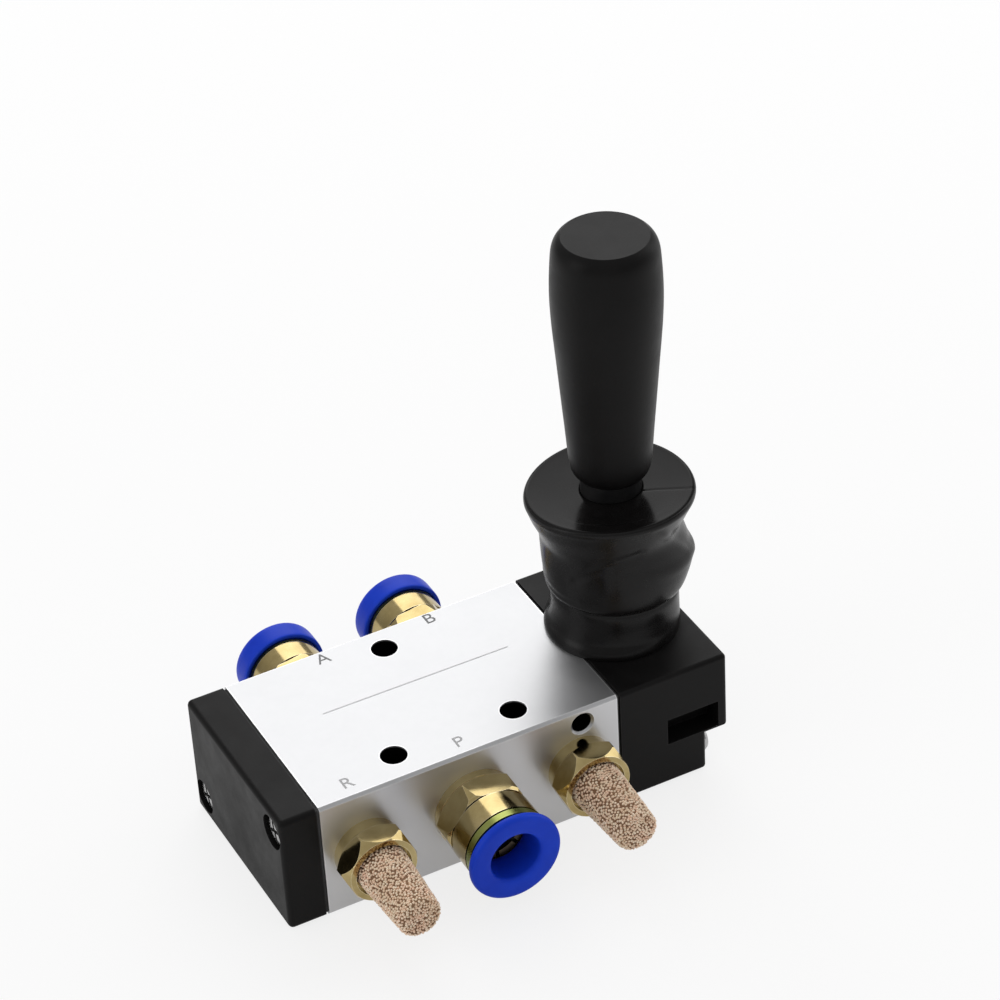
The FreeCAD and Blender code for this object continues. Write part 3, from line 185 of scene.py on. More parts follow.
def fine_grain_group():
    """Fine relief of a blasted or moulded skin, with broad patches that change its gloss."""
    tree, given, result = shader_group(
        "fine_grain",
        [("Grain Size", NUMBER, 0.0003), ("Patch Size", NUMBER, 0.006),
         ("Smooth Gloss", NUMBER, 0.3), ("Dull Gloss", NUMBER, 0.5)],
        [("Roughness", NUMBER), ("Height", NUMBER), ("Patches", NUMBER)],
    )
    place = add(tree, "ShaderNodeTexCoord").outputs["Object"]
    grain = noise_of_size(tree, place, given.outputs["Grain Size"], Detail=3.0, Roughness=0.6)
    patches = noise_of_size(tree, place, given.outputs["Patch Size"], Detail=4.0, Roughness=0.62)
    gloss = add(tree, "ShaderNodeMapRange", From_Min=NOISE_LOW, From_Max=NOISE_HIGH)
    spread = add(tree, "ShaderNodeMapRange", From_Min=NOISE_LOW, From_Max=NOISE_HIGH)
    join(
        tree,
        (patches, gloss.inputs["Value"]),
        (patches, spread.inputs["Value"]),
        (given.outputs["Smooth Gloss"], gloss.inputs["To Min"]),
        (given.outputs["Dull Gloss"], gloss.inputs["To Max"]),
        (gloss.outputs["Result"], result.inputs["Roughness"]),
        (grain, result.inputs["Height"]),
        (spread.outputs["Result"], result.inputs["Patches"]),
    )
    return tree


def worn_edge_group():
    """A mask that is 1 on edges rubbed by handling, broken up a little, and 0 on faces."""
    tree, given, result = shader_group(
        "worn_edge",
        [("Edge Width", NUMBER, 0.0003), ("Break Size", NUMBER, 0.002)],
        [("Edge", NUMBER)],
    )
    shape = add(tree, "ShaderNodeNewGeometry")
    rounded = add(tree, "ShaderNodeBevel", {"samples": 4})
    facing = add(tree, "ShaderNodeVectorMath", {"operation": "DOT_PRODUCT"})
    corner = add(tree, "ShaderNodeMapRange", From_Min=COSINE_ON_FACE, From_Max=COSINE_AT_EDGE)
    place = add(tree, "ShaderNodeTexCoord").outputs["Object"]
    breaks = noise_of_size(tree, place, given.outputs["Break Size"], Detail=3.0, Roughness=0.6)
    kept = add(tree, "ShaderNodeMapRange", From_Min=0.3, From_Max=0.6, To_Min=0.45, To_Max=1.0)
    both = add(tree, "ShaderNodeMath", {"operation": "MULTIPLY", "use_clamp": True})
    join(
        tree,
        (given.outputs["Edge Width"], rounded.inputs["Radius"]),
        (rounded.outputs["Normal"], facing.inputs[0]),
        (shape.outputs["Normal"], facing.inputs[1]),
        (facing.outputs["Value"], corner.inputs["Value"]),
        (breaks, kept.inputs["Value"]),
        (corner.outputs["Result"], both.inputs[0]),
        (kept.outputs["Result"], both.inputs[1]),
        (both.outputs[0], result.inputs["Edge"]),
    )
    return tree


def tool_line_group():
    """Fine parallel lines that a cutting tool or a rolling die leaves, across a direction."""
    tree, given, result = shader_group(
        "tool_lines",
        [("Line Pitch", NUMBER, 0.0002), ("Across", DIRECTION, (0.0, 1.0, 0.0))],
        [("Height", NUMBER)],
    )
    place = add(tree, "ShaderNodeTexCoord")
    stretched = add(tree, "ShaderNodeVectorMath", {"operation": "MULTIPLY"})
    lines = noise_of_size(
        tree, stretched.outputs["Vector"], given.outputs["Line Pitch"], Detail=2.0, Roughness=0.7,
    )
    join(
        tree,
        (place.outputs["Object"], stretched.inputs[0]),
        (given.outputs["Across"], stretched.inputs[1]),
        (lines, result.inputs["Height"]),
    )
    return tree


def drilled_hole_group():
    """A mask that is 1 on the wall of a drilled hole below its mouth, in the part's own frame."""
    tree, given, result = shader_group(
        "drilled_hole",
        [("Axis Place", DIRECTION, (0.0, 0.0, 0.0)), ("Across Axis", DIRECTION, (1.0, 1.0, 0.0)),
         ("Radius", NUMBER, 0.002), ("Outward", DIRECTION, (0.0, 0.0, 1.0)),
         ("Mouth Distance", NUMBER, 0.02), ("Floor Distance", NUMBER, 0.0)],
        [("Wall", NUMBER)],
    )
    place = add(tree, "ShaderNodeTexCoord")
    offset = add(tree, "ShaderNodeVectorMath", {"operation": "SUBTRACT"})
    flattened = add(tree, "ShaderNodeVectorMath", {"operation": "MULTIPLY"})
    away = add(tree, "ShaderNodeVectorMath", {"operation": "LENGTH"})
    near = add(tree, "ShaderNodeMath", {"operation": "LESS_THAN"})
    outward = add(tree, "ShaderNodeVectorMath", {"operation": "DOT_PRODUCT"})
    below = add(tree, "ShaderNodeMath", {"operation": "LESS_THAN"})
    above = add(tree, "ShaderNodeMath", {"operation": "GREATER_THAN"})
    between = add(tree, "ShaderNodeMath", {"operation": "MULTIPLY"})
    both = add(tree, "ShaderNodeMath", {"operation": "MULTIPLY"})
    join(
        tree,
        (place.outputs["Object"], offset.inputs[0]),
        (given.outputs["Axis Place"], offset.inputs[1]),
        (offset.outputs["Vector"], flattened.inputs[0]),
        (given.outputs["Across Axis"], flattened.inputs[1]),
        (flattened.outputs["Vector"], away.inputs[0]),
        (away.outputs["Value"], near.inputs[0]),
        (given.outputs["Radius"], near.inputs[1]),
        (place.outputs["Object"], outward.inputs[0]),
        (given.outputs["Outward"], outward.inputs[1]),
        (outward.outputs["Value"], below.inputs[0]),
        (given.outputs["Mouth Distance"], below.inputs[1]),
        (outward.outputs["Value"], above.inputs[0]),
        (given.outputs["Floor Distance"], above.inputs[1]),
        (below.outputs[0], between.inputs[0]),
        (above.outputs[0], between.inputs[1]),
        (near.outputs[0], both.inputs[0]),
        (between.outputs[0], both.inputs[1]),
        (both.outputs[0], result.inputs["Wall"]),
    )
    return tree


FINE_GRAIN = fine_grain_group()
WORN_EDGE = worn_edge_group()
TOOL_LINES = tool_line_group()
DRILLED_HOLE = drilled_hole_group()


def group_node(tree, group, **values):
    """A shader node group placed in a material with its own values."""
    node = tree.nodes.new("ShaderNodeGroup")
    node.node_tree = group
    for label, value in values.items():
        node.inputs[label.replace("_", " ")].default_value = value
    return node


def tone_mix(tree, mask, low, high):
    """The socket of a colour that runs from low to high as the mask does."""
    mix = tree.nodes.new("ShaderNodeMix")
    mix.data_type = "RGBA"
    mix.inputs[6].default_value = (*low, 1.0)
    mix.inputs[7].default_value = (*high, 1.0)
    tree.links.new(mask, mix.inputs[0])
    return mix.outputs[2]


def tone_over(tree, mask, below, high):
    """The socket of a colour laid over another colour's socket where the mask says."""
    mix = tree.nodes.new("ShaderNodeMix")
    mix.data_type = "RGBA"
    mix.inputs[7].default_value = (*high, 1.0)
    tree.links.new(mask, mix.inputs[0])
    tree.links.new(below, mix.inputs[6])
    return mix.outputs[2]


def relief(tree, height, depth, onto=None):
    """The socket of a normal bumped by a height map, whose full height is depth metres."""
    bump = add(tree, "ShaderNodeBump", Strength=1.0, Distance=depth)
    tree.links.new(height, bump.inputs["Height"])
    if onto is not None:
        tree.links.new(onto, bump.inputs["Normal"])
    return bump.outputs["Normal"]


def new_finish(name, **fixed):
    """A material with its shader, whose plain values are set on the shader's own sockets."""
    finish = bpy.data.materials.new(name)
    finish.use_nodes = True
    tree = finish.node_tree
    shader = tree.nodes["Principled BSDF"]
    for label, value in fixed.items():
        shader.inputs[label.replace("_", " ")].default_value = value
    return finish, tree, shader


# Finishes
PATCH_TO_GRAIN = 22


def moulded_finish(name, dark, light, rubbed, gloss, grain_size, grain_depth, specular):
    """Moulded plastic or paint: fine grain, patches of gloss and slightly rubbed edges."""
    finish, tree, shader = new_finish(name, Specular_IOR_Level=specular)
    grain = group_node(
        tree, FINE_GRAIN, Grain_Size=grain_size, Patch_Size=grain_size * PATCH_TO_GRAIN,
        Smooth_Gloss=gloss[0], Dull_Gloss=gloss[1],
    )
    edge = group_node(tree, WORN_EDGE, Edge_Width=0.00035, Break_Size=0.0016)
    colour = tone_mix(tree, grain.outputs["Patches"], dark, light)
    colour = tone_over(tree, edge.outputs["Edge"], colour, rubbed)
    join(
        tree,
        (colour, shader.inputs["Base Color"]),
        (grain.outputs["Roughness"], shader.inputs["Roughness"]),
        (relief(tree, grain.outputs["Height"], grain_depth), shader.inputs["Normal"]),
    )
    return finish


def printed_ink(name, dark, light, gloss):
    """Thin dull ink printed on metal."""
    return moulded_finish(
        name, dark=dark, light=light, rubbed=light, gloss=gloss,
        grain_size=0.0002, grain_depth=0.000004, specular=0.3,
    )


def metal_finish(name, dark, light, edge_tone, gloss, pitch, across, line_depth, metallic=1.0):
    """Machined metal: tool lines, patches of tarnish or polish and bright edges."""
    finish, tree, shader = new_finish(name, Metallic=metallic)
    grain = group_node(
        tree, FINE_GRAIN, Grain_Size=0.00035, Patch_Size=0.0045,
        Smooth_Gloss=gloss[0], Dull_Gloss=gloss[1],
    )
    lines = group_node(tree, TOOL_LINES, Line_Pitch=pitch, Across=across)
    edge = group_node(tree, WORN_EDGE, Edge_Width=0.00022, Break_Size=0.0012)
    colour = tone_mix(tree, grain.outputs["Patches"], dark, light)
    colour = tone_over(tree, edge.outputs["Edge"], colour, edge_tone)
    fine = relief(tree, grain.outputs["Height"], 0.0000008)
    join(
        tree,
        (colour, shader.inputs["Base Color"]),
        (grain.outputs["Roughness"], shader.inputs["Roughness"]),
        (relief(tree, lines.outputs["Height"], line_depth, fine), shader.inputs["Normal"]),
    )
    return finish


# The block's plain holes, and the masks that paint shade on their walls, in millimetres
MOUNT_HOLES = [(-10.55, -11.9), (10.55, -11.9), (0.0, 12.5)]
MOUNT_WALL_RADIUS = 2.28
MOUTH_DEPTH = 0.3
PILOT_HOLE = (19.8, 19.1)
PILOT_WALL_RADIUS = 1.72
PILOT_MASK_DEPTH = 7.0

# Colours of the block's skin, the painted light on its front and back faces, its bright edges and
# the painted shade in its holes
SATIN_DARK = (0.45, 0.452, 0.46)
SATIN_LIGHT = (0.51, 0.512, 0.52)
FRONT_BACK_PAINTED_LIGHT = (0.63, 0.632, 0.645)
BRIGHT_EDGE = (0.90, 0.90, 0.91)
HOLE_PAINTED_SHADE = (0.006, 0.006, 0.006)

# How fast a finish's tool lines change along x, y and z
DRAWN_ALONG_X = (0.02, 1.0, 1.0)
TURNED_ABOUT_Y = (0.0, 1.0, 0.0)
TURNED_ABOUT_X = (1.0, 0.0, 0.0)
TURNED_ABOUT_Z = (0.0, 0.0, 1.0)


def painted_hole_shade_masks(tree):
    """The socket of a mask that is 1 on the walls of the block's plain holes, where shade is
    painted.
    """
    drilled = []
    for x, y in MOUNT_HOLES:
        drilled.append(group_node(
            tree, DRILLED_HOLE, Axis_Place=(x * MM, y * MM, 0), Across_Axis=(1, 1, 0),
            Radius=MOUNT_WALL_RADIUS * MM, Outward=(0, 0, 1),
            Mouth_Distance=(BLOCK_TOP - MOUTH_DEPTH) * MM, Floor_Distance=MOUTH_DEPTH * MM,
        ))
    drilled.append(group_node(
        tree, DRILLED_HOLE, Axis_Place=(PILOT_HOLE[0] * MM, 0, PILOT_HOLE[1] * MM),
        Across_Axis=(1, 0, 1), Radius=PILOT_WALL_RADIUS * MM, Outward=(0, -1, 0),
        Mouth_Distance=(FACE_Y - MOUTH_DEPTH) * MM,
        Floor_Distance=(FACE_Y - PILOT_MASK_DEPTH) * MM,
    ))
    walls = drilled[0].outputs["Wall"]
    for hole in drilled[1:]:
        either = add(tree, "ShaderNodeMath", {"operation": "MAXIMUM"})
        join(tree, (walls, either.inputs[0]), (hole.outputs["Wall"], either.inputs[1]))
        walls = either.outputs[0]
    return walls


def painted_light_face_mask(tree):
    """The socket of a mask that is 1 on the block's front and back faces, where a lighter tone is
    painted as painted light.
    """
    place = add(tree, "ShaderNodeTexCoord")
    parts = add(tree, "ShaderNodeSeparateXYZ")
    across = add(tree, "ShaderNodeMath", {"operation": "ABSOLUTE"})
    facing = add(tree, "ShaderNodeMapRange", From_Min=0.90, From_Max=0.98)
    join(
        tree,
        (place.outputs["Normal"], parts.inputs["Vector"]),
        (parts.outputs["Y"], across.inputs[0]),
        (across.outputs[0], facing.inputs["Value"]),
    )
    return facing.outputs["Result"]


def satin_aluminium_finish():
    """Clear anodised aluminium, blasted to an even satin, with painted shade on the walls of its
    drilled holes and painted light on its front and back faces.
    """
    finish, tree, shader = new_finish("satin_aluminium", Metallic=0.86)
    grain = group_node(
        tree, FINE_GRAIN, Grain_Size=0.00016, Patch_Size=0.012,
        Smooth_Gloss=0.33, Dull_Gloss=0.40,
    )
    lines = group_node(tree, TOOL_LINES, Line_Pitch=0.00022, Across=DRAWN_ALONG_X)
    edge = group_node(tree, WORN_EDGE, Edge_Width=0.0004, Break_Size=0.004)
    colour = tone_mix(tree, grain.outputs["Patches"], SATIN_DARK, SATIN_LIGHT)
    # Painted light: the front and back faces get a lighter tone than the rest of the skin
    colour = tone_over(tree, painted_light_face_mask(tree), colour, FRONT_BACK_PAINTED_LIGHT)
    colour = tone_over(tree, edge.outputs["Edge"], colour, BRIGHT_EDGE)
    # Painted shade: the walls of the drilled holes are coloured near black below their mouths
    colour = tone_over(tree, painted_hole_shade_masks(tree), colour, HOLE_PAINTED_SHADE)
    fine = relief(tree, grain.outputs["Height"], 0.0000035)
    join(
        tree,
        (colour, shader.inputs["Base Color"]),
        (grain.outputs["Roughness"], shader.inputs["Roughness"]),
        (relief(tree, lines.outputs["Height"], 0.0000012, fine), shader.inputs["Normal"]),
    )
    return finish


RUBBER_DARK = (0.0050, 0.0046, 0.0046)
RUBBER_LIGHT = (0.0082, 0.0076, 0.0076)


def boot_rubber_finish(name, gloss, grain_depth, specular):
    """Dip-moulded black rubber with a soft bloom and a semi-gloss skin."""
    finish, tree, shader = new_finish(name, Specular_IOR_Level=specular)
    grain = group_node(
        tree, FINE_GRAIN, Grain_Size=0.0005, Patch_Size=0.005,
        Smooth_Gloss=gloss[0], Dull_Gloss=gloss[1],
    )
    colour = tone_mix(tree, grain.outputs["Patches"], RUBBER_DARK, RUBBER_LIGHT)
    join(
        tree,
        (colour, shader.inputs["Base Color"]),
        (grain.outputs["Roughness"], shader.inputs["Roughness"]),
        (relief(tree, grain.outputs["Height"], grain_depth), shader.inputs["Normal"]),
    )
    return finish


# Colours of the sintered beads, and how many colour cells there are to a metre
BEAD_PINK = (0.86, 0.575, 0.42)
BEAD_PALE = (1.0, 0.86, 0.69)
BEAD_BLOOM = (0.62, 0.50, 0.30)
BEAD_COLOUR_SCALE = 2100.0


def sintered_grain_finish():
    """Bronze beads fused together, from pink copper to pale bronze, bead by bead."""
    finish, tree, shader = new_finish("sintered_grains", Metallic=0.35)
    place = add(tree, "ShaderNodeTexCoord")
    beads = add(tree, "ShaderNodeTexVoronoi", Scale=BEAD_COLOUR_SCALE)
    bead_tone = add(tree, "ShaderNodeSeparateColor")
    grain = group_node(
        tree, FINE_GRAIN, Grain_Size=0.0001, Patch_Size=0.003,
        Smooth_Gloss=0.36, Dull_Gloss=0.56,
    )
    colour = tone_mix(tree, bead_tone.outputs["Red"], BEAD_PINK, BEAD_PALE)
    shade = add(tree, "ShaderNodeMapRange", To_Min=0.0, To_Max=0.4)
    colour = tone_over(tree, shade.outputs["Result"], colour, BEAD_BLOOM)
    join(
        tree,
        (place.outputs["Object"], beads.inputs["Vector"]),
        (beads.outputs["Color"], bead_tone.inputs["Color"]),
        (grain.outputs["Patches"], shade.inputs["Value"]),
        (colour, shader.inputs["Base Color"]),
        (grain.outputs["Roughness"], shader.inputs["Roughness"]),
        (relief(tree, grain.outputs["Height"], 0.000004), shader.inputs["Normal"]),
    )
    return finish


BOOT_RUBBER = boot_rubber_finish(
    "boot_rubber", gloss=(0.22, 0.32), grain_depth=0.000007, specular=0.17,
)
DISC_RUBBER = boot_rubber_finish(
    "disc_rubber", gloss=(0.13, 0.19), grain_depth=0.000002, specular=0.07,
)
SINTERED_GRAINS = sintered_grain_finish()
BRASS = metal_finish(
    "yellow_brass", dark=(0.37, 0.283, 0.122), light=(0.51, 0.408, 0.198),
    edge_tone=(0.80, 0.70, 0.48), gloss=(0.09, 0.19),
    pitch=0.0003, across=TURNED_ABOUT_Y, line_depth=0.0000018,
)
# Painted reflection: the collar's brass is tinted green to stand for the blue ring mirrored in it
COLLAR_BRASS_RING_REFLECTION = metal_finish(
    "pale_green_brass", dark=(0.22, 0.25, 0.065), light=(0.31, 0.345, 0.10),
    edge_tone=(0.50, 0.54, 0.22), gloss=(0.22, 0.34),
    pitch=0.00025, across=TURNED_ABOUT_Y, line_depth=0.000002,
)
BLUE_PLASTIC = moulded_finish(
    "blue_nylon", dark=(0.005, 0.036, 0.50), light=(0.010, 0.058, 0.66),
    rubbed=(0.03, 0.11, 0.82), gloss=(0.34, 0.46),
    grain_size=0.0006, grain_depth=0.000006, specular=0.13,
)
# Painted shade: the claw steel is coloured dark brown to stand for the shade deep inside the port
CLAW_PAINTED_SHADE_STEEL = metal_finish(
    "dull_claw_steel", dark=(0.10, 0.08, 0.06), light=(0.17, 0.135, 0.10),
    edge_tone=(0.30, 0.24, 0.17), gloss=(0.3, 0.45),
    pitch=0.0002, across=TURNED_ABOUT_Y, line_depth=0.000002,
)
# Painted shade: the core under the beads is coloured dark brown to stand for the shade in the
# pores
PORE_SHADE_BRONZE = moulded_finish(
    "bronze_pits", dark=(0.18, 0.092, 0.050), light=(0.29, 0.170, 0.095),
    rubbed=(0.36, 0.225, 0.13), gloss=(0.6, 0.8),
    grain_size=0.0003, grain_depth=0.00004, specular=0.2,
)
OUTLET_INK = printed_ink("grey_ink", (0.17, 0.17, 0.175), (0.25, 0.25, 0.255), (0.5, 0.62))
PALE_INK = printed_ink("pale_ink", (0.36, 0.36, 0.365), (0.50, 0.50, 0.505), (0.45, 0.6))
LINE_INK = printed_ink("line_ink", (0.50, 0.50, 0.505), (0.62, 0.62, 0.625), (0.45, 0.6))

SLOT_FINISHES = {
    "anodised_aluminium": satin_aluminium_finish(),
    "black_plastic": moulded_finish(
        "black_moulding", dark=(0.0046, 0.0043, 0.0043), light=(0.0072, 0.0067, 0.0067),
        rubbed=(0.026, 0.025, 0.025), gloss=(0.38, 0.5),
        grain_size=0.00028, grain_depth=0.000012, specular=0.11,
    ),
    "grip_plastic": moulded_finish(
        "black_grip", dark=(0.0042, 0.0039, 0.0039), light=(0.0066, 0.0061, 0.0061),
        rubbed=(0.014, 0.0135, 0.0135), gloss=(0.36, 0.46),
        grain_size=0.0003, grain_depth=0.000010, specular=0.11,
    ),
    "black_rubber": BOOT_RUBBER,
    "seal_rubber": moulded_finish(
        "seal_rubber_skin", dark=(0.010, 0.010, 0.010), light=(0.018, 0.018, 0.018),
        rubbed=(0.03, 0.03, 0.03), gloss=(0.4, 0.55),
        grain_size=0.0003, grain_depth=0.000008, specular=0.35,
    ),
    "gasket_sheet": moulded_finish(
        "gasket_paper", dark=(0.05, 0.05, 0.052), light=(0.09, 0.09, 0.092),
        rubbed=(0.12, 0.12, 0.12), gloss=(0.65, 0.8),
        grain_size=0.0004, grain_depth=0.00002, specular=0.3,
    ),
    "plated_steel": metal_finish(
        "nickel_plated_steel", dark=(0.42, 0.42, 0.42), light=(0.56, 0.555, 0.55),
        edge_tone=(0.8, 0.8, 0.8), gloss=(0.2, 0.34),
        pitch=0.0002, across=TURNED_ABOUT_X, line_depth=0.000002,
    ),
    "stainless_steel": metal_finish(
        "bright_stainless", dark=(0.46, 0.455, 0.45), light=(0.60, 0.59, 0.58),
        edge_tone=(0.8, 0.8, 0.8), gloss=(0.18, 0.3),
        pitch=0.0002, across=TURNED_ABOUT_Y, line_depth=0.000002,
    ),
    "black_oxide_steel": metal_finish(
        "blackened_steel", dark=(0.020, 0.020, 0.021), light=(0.034, 0.033, 0.034),
        edge_tone=(0.10, 0.10, 0.10), gloss=(0.3, 0.42),
        pitch=0.00025, across=TURNED_ABOUT_Z, line_depth=0.000002, metallic=0.6,
    ),
    "spool_aluminium": metal_finish(
        "turned_aluminium", dark=(0.56, 0.56, 0.57), light=(0.68, 0.68, 0.69),
        edge_tone=(0.85, 0.85, 0.86), gloss=(0.2, 0.3),
        pitch=0.0002, across=TURNED_ABOUT_X, line_depth=0.000002,
    ),
    "brass": BRASS,
    "sintered_bronze": SINTERED_GRAINS,
    "blue_plastic": BLUE_PLASTIC,
}
for node_name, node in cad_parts.items():
    for material_slot in node.material_slots:
        material_slot.material = SLOT_FINISHES[material_slot.material.name]
    if node_name.endswith("_collar"):
        node.material_slots[0].material = COLLAR_BRASS_RING_REFLECTION
    if node_name.endswith("_claw"):
        node.material_slots[0].material = CLAW_PAINTED_SHADE_STEEL


# Rubber boot

# The skin's outline as (radius, height), seen on the side towards the
# front and on the side that bulges, past the lever to the right
BOOT_FRONT = [
    (11.40, 22.02), (11.44, 22.60), (11.20, 23.40), (10.62, 24.60), (10.26, 26.60),
    (10.20, 29.30), (10.00, 30.35), (10.55, 30.95), (11.00, 31.80), (11.20, 34.00),
    (11.30, 36.50), (11.35, 38.60), (11.50, 40.60), (12.05, 42.70), (12.85, 44.90),
    (13.42, 46.70), (13.70, 47.60), (13.55, 48.25), (13.05, 48.50),
]
BOOT_BULGE = [
    (10.62, 22.02), (10.66, 22.60), (10.65, 23.40), (10.63, 24.60), (10.62, 26.60),
    (10.60, 28.50), (10.38, 29.40), (11.15, 30.10), (11.80, 31.20), (12.45, 33.00),
    (12.95, 34.90), (13.15, 36.45), (12.30, 38.50), (11.15, 42.10), (12.45, 45.00),
    (13.38, 46.80), (13.70, 47.60), (13.55, 48.25), (13.05, 48.50),
]
BOOT_DISC = [(12.0, DISC_TOP), (9.5, DISC_TOP - 0.04), (7.2, DISC_TOP), (5.3, DISC_TOP + 0.05)]
BOOT_HOLE = [(SHAFT_HOLE_RADIUS, DISC_TOP), (SHAFT_HOLE_RADIUS, DISC_TOP - 1.3)]
BOOT_UNDER = [(7.5, DISC_TOP - 1.5), (10.4, DISC_TOP - 1.6)]
BOOT_STEPS = 5
DISC_STEPS = 8
SLEEVE_HEIGHTS = (28.4, 25.0, 22.02)

# Directions round the boot, measured from +X
BULGE_SIDE = math.radians(-30)
BULGE_SPREAD = math.radians(52)
CAMERA_SIDE = math.radians(-120)
LIFTED_SIDE = math.radians(-69)

# Folds pressed into the skin, as (angle round the boot in degrees, height)
LONG_FOLD = [(-150, 37.4), (-138, 39.3), (-126, 41.0), (-112, 42.2), (-98, 42.9)]
SIDE_RIDGE = [
    (-88, 48.0), (-70, 43.6), (-55, 40.4), (-43, 37.7), (-31, 36.3), (-10, 35.8), (18, 36.2),
]
LOW_FOLD = [(-200, 33.0), (-180, 32.7), (-166, 32.5), (-150, 32.7)]

# Each fold's path, depth and width, where a ridge has a depth below nought
BOOT_FOLDS = [(LONG_FOLD, 0.14, 0.8), (SIDE_RIDGE, -0.22, 0.75), (LOW_FOLD, 0.13, 0.35)]
FOLD_UNROLL_RADIUS = 11.5
FOLD_SHOULDER = 0.45
FOLD_SHOULDER_AWAY = 1.7
FOLD_FADE = 1.6

# Where the skin hangs slack, and how far the slack waves in and out
SLACK_LOW = 31.5
SLACK_HIGH = 45.0
SLACK_FADE = 4.0
BROAD_WAVE = 0.10
NARROW_WAVE = 0.07

# Where the inside wall follows the outside, between the cuff and the rim
WALL_LOW = 29.0
WALL_HIGH = 46.4

# The disc's edge lifts towards one side and saddles a little
DISC_RADIUS = 13.7
DISC_TILT = 0.60
DISC_SADDLE = 0.35
LIFT_START = 40.0
LIFT_RISE = 7.0
FRONT_PINCH = 0.35
PINCH_MIN_RADIUS = 11.0

# The lean is passed on near the shaft, from the cuff up
LEAN_REACH = 13.0
LEAN_FADE = 6.0
LEAN_START = 29.0
LEAN_RISE = 12.0

# A crease across the disc's face, as (x, y) from the lever
DISC_CREASE = [(3.5, -3.65), (5.8, -4.5), (8.0, -5.6), (11.2, -7.4)]
CREASE_DEPTH = 0.05
CREASE_WIDTH = 0.2
CREASE_STEP = 0.02
CREASE_STEP_REACH = 1.2
CREASE_FLOOR = 48.3
CREASE_FADE = 0.1


def distance_to_path(across, up, path):
    """How far each point is from a path of straight runs, and on which side of it."""
    nearest = np.full(across.shape, np.inf)
    side = np.zeros(across.shape)
    for (x0, y0), (x1, y1) in zip(path[:-1], path[1:]):
        run_x = x1 - x0
        run_y = y1 - y0
        square = run_x * run_x + run_y * run_y
        along = np.clip(((across - x0) * run_x + (up - y0) * run_y) / square, 0, 1)
        off_x = across - x0 - along * run_x
        off_y = up - y0 - along * run_y
        gap = np.hypot(off_x, off_y)
        nearer = gap < nearest
        nearest = np.where(nearer, gap, nearest)
        side = np.where(nearer, np.sign(run_x * off_y - run_y * off_x), side)
    return nearest, side


def fold_depth(angles, height, path, depth, width):
    """How far a fold presses the skin in, with a soft ridge above it."""
    around = angles * FOLD_UNROLL_RADIUS
    total = np.zeros(height.shape)
    for turn in (-360, 0):
        unrolled = [
            (math.radians(angle - turn) * FOLD_UNROLL_RADIUS, level) for angle, level in path
        ]
        gap, side = distance_to_path(around, height, unrolled)
        above = gap * side - FOLD_SHOULDER_AWAY * width
        total += -depth * np.exp(-(gap / width) ** 2)
        total += FOLD_SHOULDER * depth * np.exp(-(above / width) ** 2)
    return total * np.clip((RIM_UNDERSIDE - height) / FOLD_FADE, 0, 1)


def boot_outer(angles):
    """The boot's outer skin as rows of (radius, height), from the foot up to the disc's edge."""
    turned = np.cos(angles - BULGE_SIDE)
    bulge = np.exp(-((np.arccos(np.clip(turned, -1, 1)) / BULGE_SPREAD) ** 2))
    front = np.array(BOOT_FRONT)[:, None, :]
    side = np.array(BOOT_BULGE)[:, None, :]
    keys = front + (side - front) * bulge[None, :, None]
    rows = smooth_through(keys, BOOT_STEPS)
    radius, height = rows[..., 0], rows[..., 1]
    for path, depth, width in BOOT_FOLDS:
        radius = radius + fold_depth(angles, height, path, depth, width)
    slack = np.clip((height - SLACK_LOW) / SLACK_FADE, 0, 1)
    slack = slack * np.clip((SLACK_HIGH - height) / SLACK_FADE, 0, 1)
    broad = BROAD_WAVE * np.sin(3 * angles + 0.7)
    narrow = NARROW_WAVE * np.sin(5 * angles + 0.5 * height)
    return radius + slack * (broad + narrow), height


def disc_lift(angles):
    """How much higher than level the disc's edge stands, because the boot pulls it."""
    tilt = DISC_TILT * np.cos(angles - LIFTED_SIDE)
    return tilt + DISC_SADDLE * np.cos(2 * (angles - CAMERA_SIDE))


def level_rings(outline):
    """Rows of the skin that are plain level rings, one for each (radius, height)."""
    return np.array([np.tile(ring, (BOOT_SEGMENTS, 1)) for ring in outline], float)


def boot_skin(angles):
    """The whole closed skin, from outside over the disc and through its hole to the inside."""
    outer = np.stack(boot_outer(angles), -1)
    disc_keys = np.concatenate([outer[-1:], level_rings(BOOT_DISC)])
    disc = smooth_through(disc_keys, DISC_STEPS)[1:]
    height = outer[..., 1]
    walled = ((height > WALL_LOW) & (height < WALL_HIGH)).all(axis=1)
    wall = outer[np.flatnonzero(walled)[::-2]]
    wall[..., 0] = np.maximum(wall[..., 0] - BOOT_WALL, BOSS_CLEAR_RADIUS)
    sleeve = level_rings([(BOSS_CLEAR_RADIUS, level) for level in SLEEVE_HEIGHTS])
    hole = level_rings(BOOT_HOLE)
    under = level_rings(BOOT_UNDER)
    return np.concatenate([outer, disc, hole, under, wall, sleeve])


